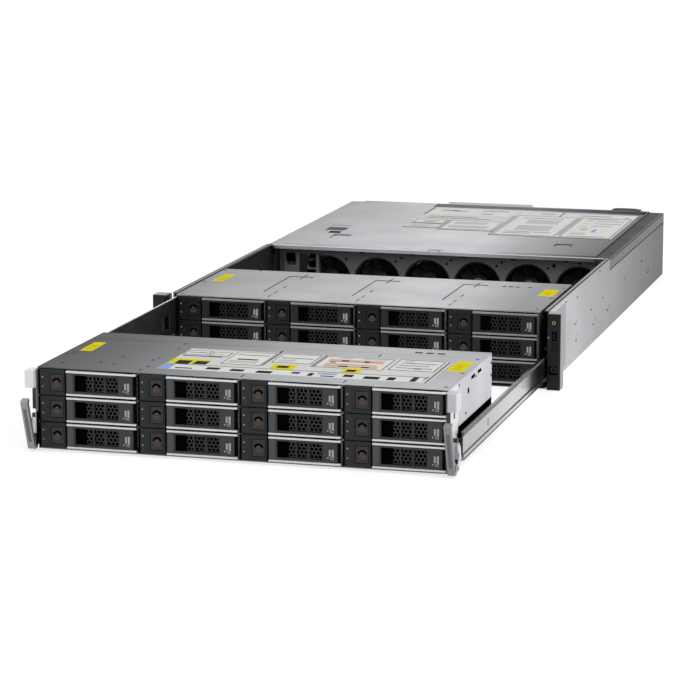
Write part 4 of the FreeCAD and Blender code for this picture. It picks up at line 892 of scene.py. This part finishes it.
# cap and plates are outlines carried along an axis; the pin, its head and the knob are turned; black sheets in the
# plate's slots are painted shade
def bracketParts(s, sign):
    (y0, y1), (z0, z1), cut = s["capY"], s["capZ"], s["capBevel"]
    inner, (x0, x1) = s["plate"][1], s["cap"]
    cap = [(sign * x0, y1), (sign * x0, y0 + cut), (sign * (x0 + cut), y0), (sign * (x1 - cut), y0),
           (sign * x1, y0 + cut), (sign * x1, y1)]
    lipX, lipY, lipLow = s["lip"]
    pinY, pinZ, radius = s["pin"]
    pin = [(radius, sign * (inner - 0.4)), (radius, sign * (x1 - 0.5))]
    head = [(s["pinHead"], 0), (s["pinHead"], sign * 0.1), (0, sign * 0.12)]
    knobX, knobY = s["knob"]
    slot = aside(sign, inner - 0.02, inner + 0.05)
    return [
        (bar(cap, "z", z0, z1), "cap"),
        (bar(s["plateOutline"], "x", *aside(sign, *s["plate"])), "bracket"),
        (block(aside(sign, *lipX), lipY, (lipLow, z0)), "bracketDark"),
        (bar(s["forkOutline"], "x", *aside(sign, *s["fork"])), "bracket"),
        (block(aside(sign, inner, x1), *s["web"]), "bracket"),
        (bar(s["hingeOutline"], "x", *aside(sign, *s["hinge"])), "bracketDark"),
        (turned(pin, (0, pinY, pinZ), "x", 14), "bracketDark"),
        (turned(head, (sign * x1, pinY, pinZ), "x", 14), "bracketDark"),
        (turned(s["knobProfile"], (sign * knobX, knobY, z0), "z", 12), "bracketDark"),
    ] + [(block(slot, (a, b), (c, d)), "black") for a, b, c, d in s["slots"]]


brackets = putPiece("leverBrackets", gather(bracketParts(bracketSizes, 1) + bracketParts(bracketSizes, -1)),
                    "front_bay", "cap_metal", bevel=0.12)
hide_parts("lever_brackets")

# The levers: a flat bar with a grooved face, laid out shut and turned about the pin by the rest angle
leverSizes = {
    "x": (216.3, 224.0), "pin": (-838.0, 8.5), "lean": 20.0,
    "outline": [(-842.4, 2.6), (-845.4, 4.6), (-845.4, 59.4), (-844.2, 61.0), (-838.2, 61.0), (-838.2, 58.6),
                (-840.6, 57.0), (-841.4, 17.5), (-835.4, 12.1), (-833.8, 9.1), (-834.7, 4.4), (-837.0, 2.0)],
    "groove": (218.4, 221.9, 13.0, 52.0),
}


# a point turns about the pin by y' = y cos a - z sin a, z' = y sin a + z cos a
def leaned(shape, s):
    points, faces = shape
    angle = math.radians(s["lean"])
    around = np.asarray(points, float) - [0, *s["pin"]]
    y = around[:, 1] * math.cos(angle) - around[:, 2] * math.sin(angle)
    z = around[:, 1] * math.sin(angle) + around[:, 2] * math.cos(angle)
    return np.stack([around[:, 0], y, z], axis=1) + [0, *s["pin"]], faces


for side, sign in (("right", 1), ("left", -1)):
    face = leverSizes["outline"][1][0]
    spans = [aside(sign, *leverSizes["x"]), aside(sign, *leverSizes["groove"][:2])]
    parts = [(leaned(bar(leverSizes["outline"], "x", *spans[0]), leverSizes), "lever"),
             (leaned(block(spans[1], (face - 0.12, face + 0.2), leverSizes["groove"][2:]), leverSizes), "leverGroove")]
    piece = putPiece(f"releaseLever{side.capitalize()}", gather(parts), f"lever_{side}", "lever_metal", bevel=0.5)
    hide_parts(f"release_lever_{side}")
print("brackets and levers ready")


# Ears: button ring, port and bars as dark depths in painted shade, captive screws in the access openings over black
# backing, also painted shade
earSizes = {
    "middle": 233.55, "face": -407.5, "rear": -389.2, "port": (-2.3, 3.3, 56.1, 66.9),
    "print": (227.0, 228.2, 59.2, 61.0), "bars": 4, "barsLow": 44.0, "barPitch": 2.9, "barHalf": 3.45,
    "foot": (0.1, 2.45), "footX": ((226.1, 239.4), (239.4, 241.0)), "blackTo": 3.0,
    "screw": (232.55, 22.2), "backing": (5.0, -391.2, -390.4), "cross": (0.5, 2.6, -402.5, -402.0),
    "screwProfile": [(4.4, -391), (4.4, -401.5), (3.8, -402.4), (0, -402.4)],
    "power": (77.0, [(1.35, 0.1), (1.35, -0.12), (2.1, -0.12), (2.1, 0.1)], [(0.7, 0.1), (0.7, -0.1), (0, -0.1)]),
}


# the right ear has the port, the print and four bars; both have a foot in three blocks and a captive screw
def earParts(s):
    x, face, rear = s["middle"], s["face"], s["rear"]
    left, right, low, high = s["port"]
    parts = [boxed("black", x + left, x + right, face + 2.2, face + 2.5, low, high),
             (block(s["print"][:2], (face - 0.06, face + 0.2), s["print"][2:]), "print")]
    for number in range(s["bars"]):
        low = s["barsLow"] + number * s["barPitch"]
        parts.append(boxed("earLow", x - s["barHalf"], x + s["barHalf"], face + 0.7, face + 1.1, low + 0.05,
                           low + 1.35))
    sx, sz = s["screw"]
    reach, back0, back1 = s["backing"]
    short, long, cross0, cross1 = s["cross"]
    for sign in (1, -1):
        px = sign * sx
        inner, outer = [aside(sign, *span) for span in s["footX"]]
        parts += [(block(inner, (face, rear), s["foot"]), "ear"),
                  (block(outer, (face, face + s["blackTo"]), s["foot"]), "ear"),
                  (block(outer, (face + s["blackTo"], rear), s["foot"]), "earSheet"),
                  boxed("black", px - reach, px + reach, back0, back1, sz - reach, sz + reach),
                  (turned(s["screwProfile"], (px, 0, sz), "y", 18), "screw")]
        parts += [boxed("black", px - a, px + a, cross0, cross1, sz - b, sz + b)
                  for a, b in ((short, long), (long, short))]
    return parts


putPiece("earDetails", gather(earParts(earSizes)), "chassis", "ear_plastic", smooth=True)
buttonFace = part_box("power_button")[0].y / mm
powerZ, ringProfile, markProfile = earSizes["power"]
centre = (earSizes["middle"], buttonFace, powerZ)
putPiece("powerRing", gather([(turned(ringProfile, centre, "y", 24), "powerGlow"),
                              (turned(markProfile, centre, "y", 12), "earLow")]),
         "power_button_cap", "button_plastic", smooth=True)
print("ears ready")


# Fan wall and fans: trapezoid notches and small holes along the top of the wall, pale discs on the hubs as painted
# highlights
fanMarks = {
    "wall": 17.5, "notches": (-103.3, -37.0, 29.7, 95.0, 162.8), "notchZ": (75.6, 80.0), "notchHalf": (3.6, 2.2),
    "holes": [(-125.3, 66.7, 1.6), (-59.5, 66.5, 1.6), (8, 66.4, 1.6), (73.5, 66.8, 1.6), (140, 66.7, 1.6),
              (-51.4, 71.3, 1.6), (14, 71.3, 1.6), (80, 71.3, 1.6), (180.9, 74.5, 1.6), (148, 70.1, 2.4)],
    "hubs": (4, 5, 6), "hubRadius": 8.6, "axisZ": 40.0, "bracket": 9.5,
    "bracketAreas": [("black", -172.5, -163.7, 67.5, 73.2), ("black", -172.5, -163.7, 55.3, 63.4),
                     ("black", -204.0, -191.4, 62.6, 73.2), ("screw", -186.0, -175.0, 48.6, 73.2)],
}


# thin dark outlines just ahead of the wall and of the cable bracket, painted shade of its notches, holes and openings
def fanWallParts(s):
    face = s["wall"]
    low, high = s["notchZ"]
    bottom, top = s["notchHalf"]
    parts = []
    for x in s["notches"]:
        outline = [(x - bottom, low), (x + bottom, low), (x + top, high), (x - top, high)]
        parts.append((bar(outline, "y", face - 0.15, face + 0.05), "black"))
    parts += [(turned([(r, 0.05), (r, -0.15), (0, -0.15)], (x, face, z), "y", 12), "black") for x, z, r in s["holes"]]
    front = s["bracket"]
    parts += [boxed(look, x0, x1, front - 0.12, front + 0.05, z0, z1)
              for look, x0, x1, z0, z1 in s["bracketAreas"]]
    return parts


putPiece("fanWallMarks", gather(fanWallParts(fanMarks)), "chassis", "dark_sheet")
for number in fanMarks["hubs"]:
    low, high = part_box(f"fan_rotor_{number}")
    radius = fanMarks["hubRadius"]
    disc = turned([(radius, 0.05), (radius, -0.12), (radius - 0.4, -0.16), (0, -0.16)],
                  ((low.x + high.x) / 2 / mm, low.y / mm, fanMarks["axisZ"]), "y", 24)
    putPiece(f"hubHighlight{number}", gather([(disc, "fanLabel")]), f"rotor_{number}", "fan_plastic", smooth=True)
print("fans ready")


# Rear: dark dome over the cable hook, slot brackets, ports, supplies
rearSizes = {
    "wall": 407.5, "hook": (148.0, 189.0, 84.6, 86.78), "hookY": (422.8, 430.45),
    "slots": (-94.0, 24.5), "slotSize": (80.0, 17.5), "slotPitch": (88.0, 20.0), "columns": 2, "rows": 3,
    "screens": 2, "screenFrom": 8.0, "screenTo": 4.0, "screenZ": (5.8, 5.6), "hex": (3.2, 0.8, 0.5), "screw": 1.2,
    "ports": [(-88.0, 17.0), (-66.0, 17.0), (60.0, 17.0)], "portBottom": 8.4, "portSide": 2.5, "portZ": (2.3, 10.9),
    "pins": 8, "pinFrom": 3.6, "pinPitch": 1.3, "pinWide": 0.6, "pinZ": (9.9, 10.6),
    "lampSide": 0.5, "lampWide": 1.6, "lampZ": (11.6, 13.2),
}


# the dome over the hook: half of a flattened oval |u|^4 + |v|^2 = 1 over the hook's width, carried along Y
def domeOutline(x0, x1, low, high, steps=24):
    angles = np.linspace(0, math.pi, steps)
    middle, half = (x0 + x1) / 2, (x1 - x0) / 2
    across = np.sign(np.cos(angles)) * np.abs(np.cos(angles)) ** 0.5
    arch = np.stack([middle + half * across, low + (high - low) * np.sin(angles)], axis=1)
    return np.concatenate([arch, [(x0, low - 1.5), (x1, low - 1.5)]])


# the dome, two screens and two screws for each slot bracket, and pins and lamps for each port; black sheets behind the
# screens and in the ports are painted shade
def rearParts(s):
    wall, (x0, z0), (width, height) = s["wall"], s["slots"], s["slotSize"]
    parts = [(bar(domeOutline(*s["hook"]), "y", *s["hookY"]), "hookDark")]
    share = (width - s["screenFrom"] - s["screenTo"]) / s["screens"]
    low, high = s["screenZ"]
    for column in range(s["columns"]):
        for row in range(s["rows"]):
            x, z = x0 + column * s["slotPitch"][0], z0 + row * s["slotPitch"][1]
            for count in range(s["screens"]):
                left, right = x + s["screenFrom"] + count * share, x + s["screenTo"] + (count + 1) * share
                screen = honeycomb((left + 1.2, right - 1.2), (z + low, z + height - high), wall - 1.7, *s["hex"])
                parts.append((screen, "tray"))
                parts.append(boxed("black", left - 0.5, right + 0.5, wall - 5.2, wall - 4.9, z + 4, z + height - 4))
            for side in (x + 1.3, x + width - 1.3):
                parts += screwParts((side, wall - 1.2, z + height / 2), "y", s["screw"])
    low = s["portBottom"]
    (z0, z1), (pin0, pin1), (lamp0, lamp1) = [[low + z for z in s[key]] for key in ("portZ", "pinZ", "lampZ")]
    for x, wide in s["ports"]:
        parts.append(boxed("black", x + s["portSide"], x + wide - s["portSide"], wall - 9.0, wall - 8.6, z0, z1))
        for number in range(s["pins"]):
            left = x + s["pinFrom"] + number * s["pinPitch"]
            parts.append(boxed("copper", left, left + s["pinWide"], wall - 8.6, wall - 1.5, pin0, pin1))
        for side, look in ((x + s["lampSide"], "lampGreen"),
                           (x + wide - s["lampSide"] - s["lampWide"], "lampWhite")):
            parts.append(boxed(look, side, side + s["lampWide"], wall + 0.55, wall + 0.75, lamp0, lamp1))
    return parts


supplySizes = {
    "x": 123.8, "face": 408.5, "low": (1.6, 41.8), "height": 38.6, "fan": (21.0, 16.0), "recess": 1.9,
    "rings": 5, "innerRing": 3.0, "ringWide": 0.9, "spoke": 0.6, "inlet": (52.0, 9.5, 27.0, 19.5),
    "inletDepth": 14.9, "inletRim": 2, "handle": (41.0, 6.0, 22.0, 4.0), "handleEnds": 3.0, "handleFrom": 4,
    "sleeve": 0.2, "lamps": (("labelOrange", 8.0), ("lampGreen", 14.0)), "lampX": 82.0,
    "lampProfile": [(1.0, 0.05), (1.0, 0.3), (0.6, 0.5), (0, 0.5)],
    "vents": (60, 65, 70, 75), "ventWide": 2.6, "ventZ": (32, 35.6), "diagonal": 0.7071,
}


# a supply's fan guard is rings and spokes over a dark recess, painted shade like the black sheets in the inlet and
# vents; the handle's black sleeve lies on the solid's bars
def supplyParts(s, level):
    x, z, face = s["x"], s["low"][level], s["face"]
    middle, radius = s["fan"]
    centre = np.array([x + middle, z + s["height"] / 2])
    hub = (centre[0], 0, centre[1])
    parts = [(turned([(radius - 0.1, face - s["recess"]), (0.0, face - s["recess"] + 0.1)], hub, "y", 32), "black")]
    for ring in np.linspace(s["innerRing"], radius - 1.0, s["rings"]):
        outside = ring + s["ringWide"]
        profile = [(ring, face - 0.9), (ring, face - 0.1), (outside, face - 0.1), (outside, face - 0.9),
                   (ring, face - 0.9)]
        parts.append((turned(profile, hub, "y", 32), "tray"))
    reach, half = radius - 0.3, s["spoke"]
    for slope in (1, -1):
        outline = np.array([(-reach, -half), (reach, -half), (reach, half), (-reach, half)])
        turn = np.array([[1, slope], [-slope, 1]]) * s["diagonal"]
        parts.append((bar(outline @ turn + centre, "y", face - 0.8, face - 0.05), "tray"))
    left, low, wide, tall = s["inlet"]
    (wx0, wx1), (wz0, wz1), rim = (x + left, x + left + wide), (z + low, z + low + tall), s["inletRim"]
    deep = face - s["inletDepth"]
    parts.append(boxed("black", wx0 + 0.1, wx1 - 0.1, deep, deep + 0.4, wz0 + 0.1, wz1 - 0.1))
    parts.append((windowPlate((wx0 - rim, wx1 + rim), (face - 0.05, face + 0.5), (wz0 - rim, wz1 + rim), (wx0, wx1),
                              (wz0, wz1)), "shroud"))
    left, wide, reach, thick = s["handle"]
    skin, near, far = s["sleeve"], face + s["handleFrom"], face + reach
    low, high = z + s["handleEnds"], z + s["height"] - s["handleEnds"]
    width = (x + left - skin, x + left + wide + skin)
    for y0, z0, z1 in ((near, low - skin, low + thick), (near, high - thick, high + skin),
                       (far - thick - skin, low - skin, high + skin)):
        parts.append((block(width, (y0, far), (z0, z1)), "shroud"))
    parts += [(turned(s["lampProfile"], (x + s["lampX"], face, z + up), "y", 12), look) for look, up in s["lamps"]]
    low, high = s["ventZ"]
    return parts + [boxed("black", x + left, x + left + s["ventWide"], face - 0.05, face + 0.06, z + low, z + high)
                    for left in s["vents"]]


putPiece("rearDetails", gather(rearParts(rearSizes)), "chassis", "zinc_steel", smooth=True)
for level, body in enumerate(("supply_lower", "supply_upper")):
    putPiece("supplyDetails" + body[7:].capitalize(), gather(supplyParts(supplySizes, level)), body, "supply_case",
             smooth=True)
print("rear ready")


# Lamps, world and floor
lamps = {
    "keyLamp": {"place": (3.0, -1.6, 2.6), "aim": (0, -0.2, 0), "size": 2.2, "power": 62},
    "fillLamp": {"place": (-2.6, -3.0, 2.0), "aim": (0, -0.4, 0), "size": 2.0, "power": 24},
    "topLamp": {"place": (0, 0.2, 3.2), "aim": (0, 0, 0), "size": 3.0, "power": 18},
}


# a square area lamp whose -Z axis points from its place to its aim
def addLamp(name, s):
    data = bpy.data.lights.new(name, "AREA")
    data.shape, data.size, data.energy = "SQUARE", s["size"], s["power"]
    lamp = bpy.data.objects.new(name, data)
    bpy.context.scene.collection.objects.link(lamp)
    lamp.location = s["place"]
    lamp.rotation_euler = (Vector(s["aim"]) - Vector(s["place"])).to_track_quat("-Z", "Y").to_euler()


for name, settings in lamps.items():
    addLamp(name, settings)


# 1 for rays that the camera, a mirror or glass sees, 0 for the rest
def seenShare(tree):
    path = addNode(tree, "ShaderNodeLightPath")
    seen = path.outputs["Is Camera Ray"]
    for kind in ("Is Glossy Ray", "Is Transmission Ray"):
        seen = calculate(tree, "MAXIMUM", seen, path.outputs[kind])
    return seen


worldGlow = {"lighting": 0.5, "seen": 1.0}


# a white world that lights the part with less strength than it shows
def buildWorld(s):
    world = bpy.data.worlds.new("studio")
    bpy.context.scene.world = world
    world.use_nodes = True
    tree = world.node_tree
    back = tree.nodes["Background"]
    back.inputs["Color"].default_value = (1, 1, 1, 1)
    tree.links.new(between(tree, seenShare(tree), s["lighting"], s["seen"], 0.0, 1.0), back.inputs["Strength"])


floorSizes = {"far": 14.0, "grey": 0.6, "nearGlow": 0.6, "farGlow": 1.0, "from": 1.0, "to": 2.6, "below": 0.0005}


# the floor's own light, as seen, rises from near to far with the distance from the middle in metres
def buildFloor(s, low):
    material, tree, shader = startMaterial("paleFloor")
    shader.inputs["Base Color"].default_value = (s["grey"],) * 3 + (1,)
    shader.inputs["Roughness"].default_value = 0.9
    shader.inputs["Specular IOR Level"].default_value = 0.0
    shader.inputs["Emission Color"].default_value = (1, 1, 1, 1)
    where = addNode(tree, "ShaderNodeTexCoord")
    distance = addNode(tree, "ShaderNodeVectorMath", operation="LENGTH")
    tree.links.new(where.outputs["Object"], distance.inputs[0])
    glow = between(tree, distance.outputs["Value"], s["nearGlow"], s["farGlow"], s["from"], s["to"])
    tree.links.new(times(tree, seenShare(tree), glow), shader.inputs["Emission Strength"])
    far = s["far"]
    mesh = bpy.data.meshes.new("floor")
    mesh.from_pydata([(-far, -far, low), (far, -far, low), (far, far, low), (-far, far, low)], [], [(0, 1, 2, 3)])
    mesh.materials.append(material)
    floor = bpy.data.objects.new("floor", mesh)
    bpy.context.scene.collection.objects.link(floor)


buildWorld(worldGlow)
buildFloor(floorSizes, cadBox[0][2] - floorSizes["below"])
print("stage ready")
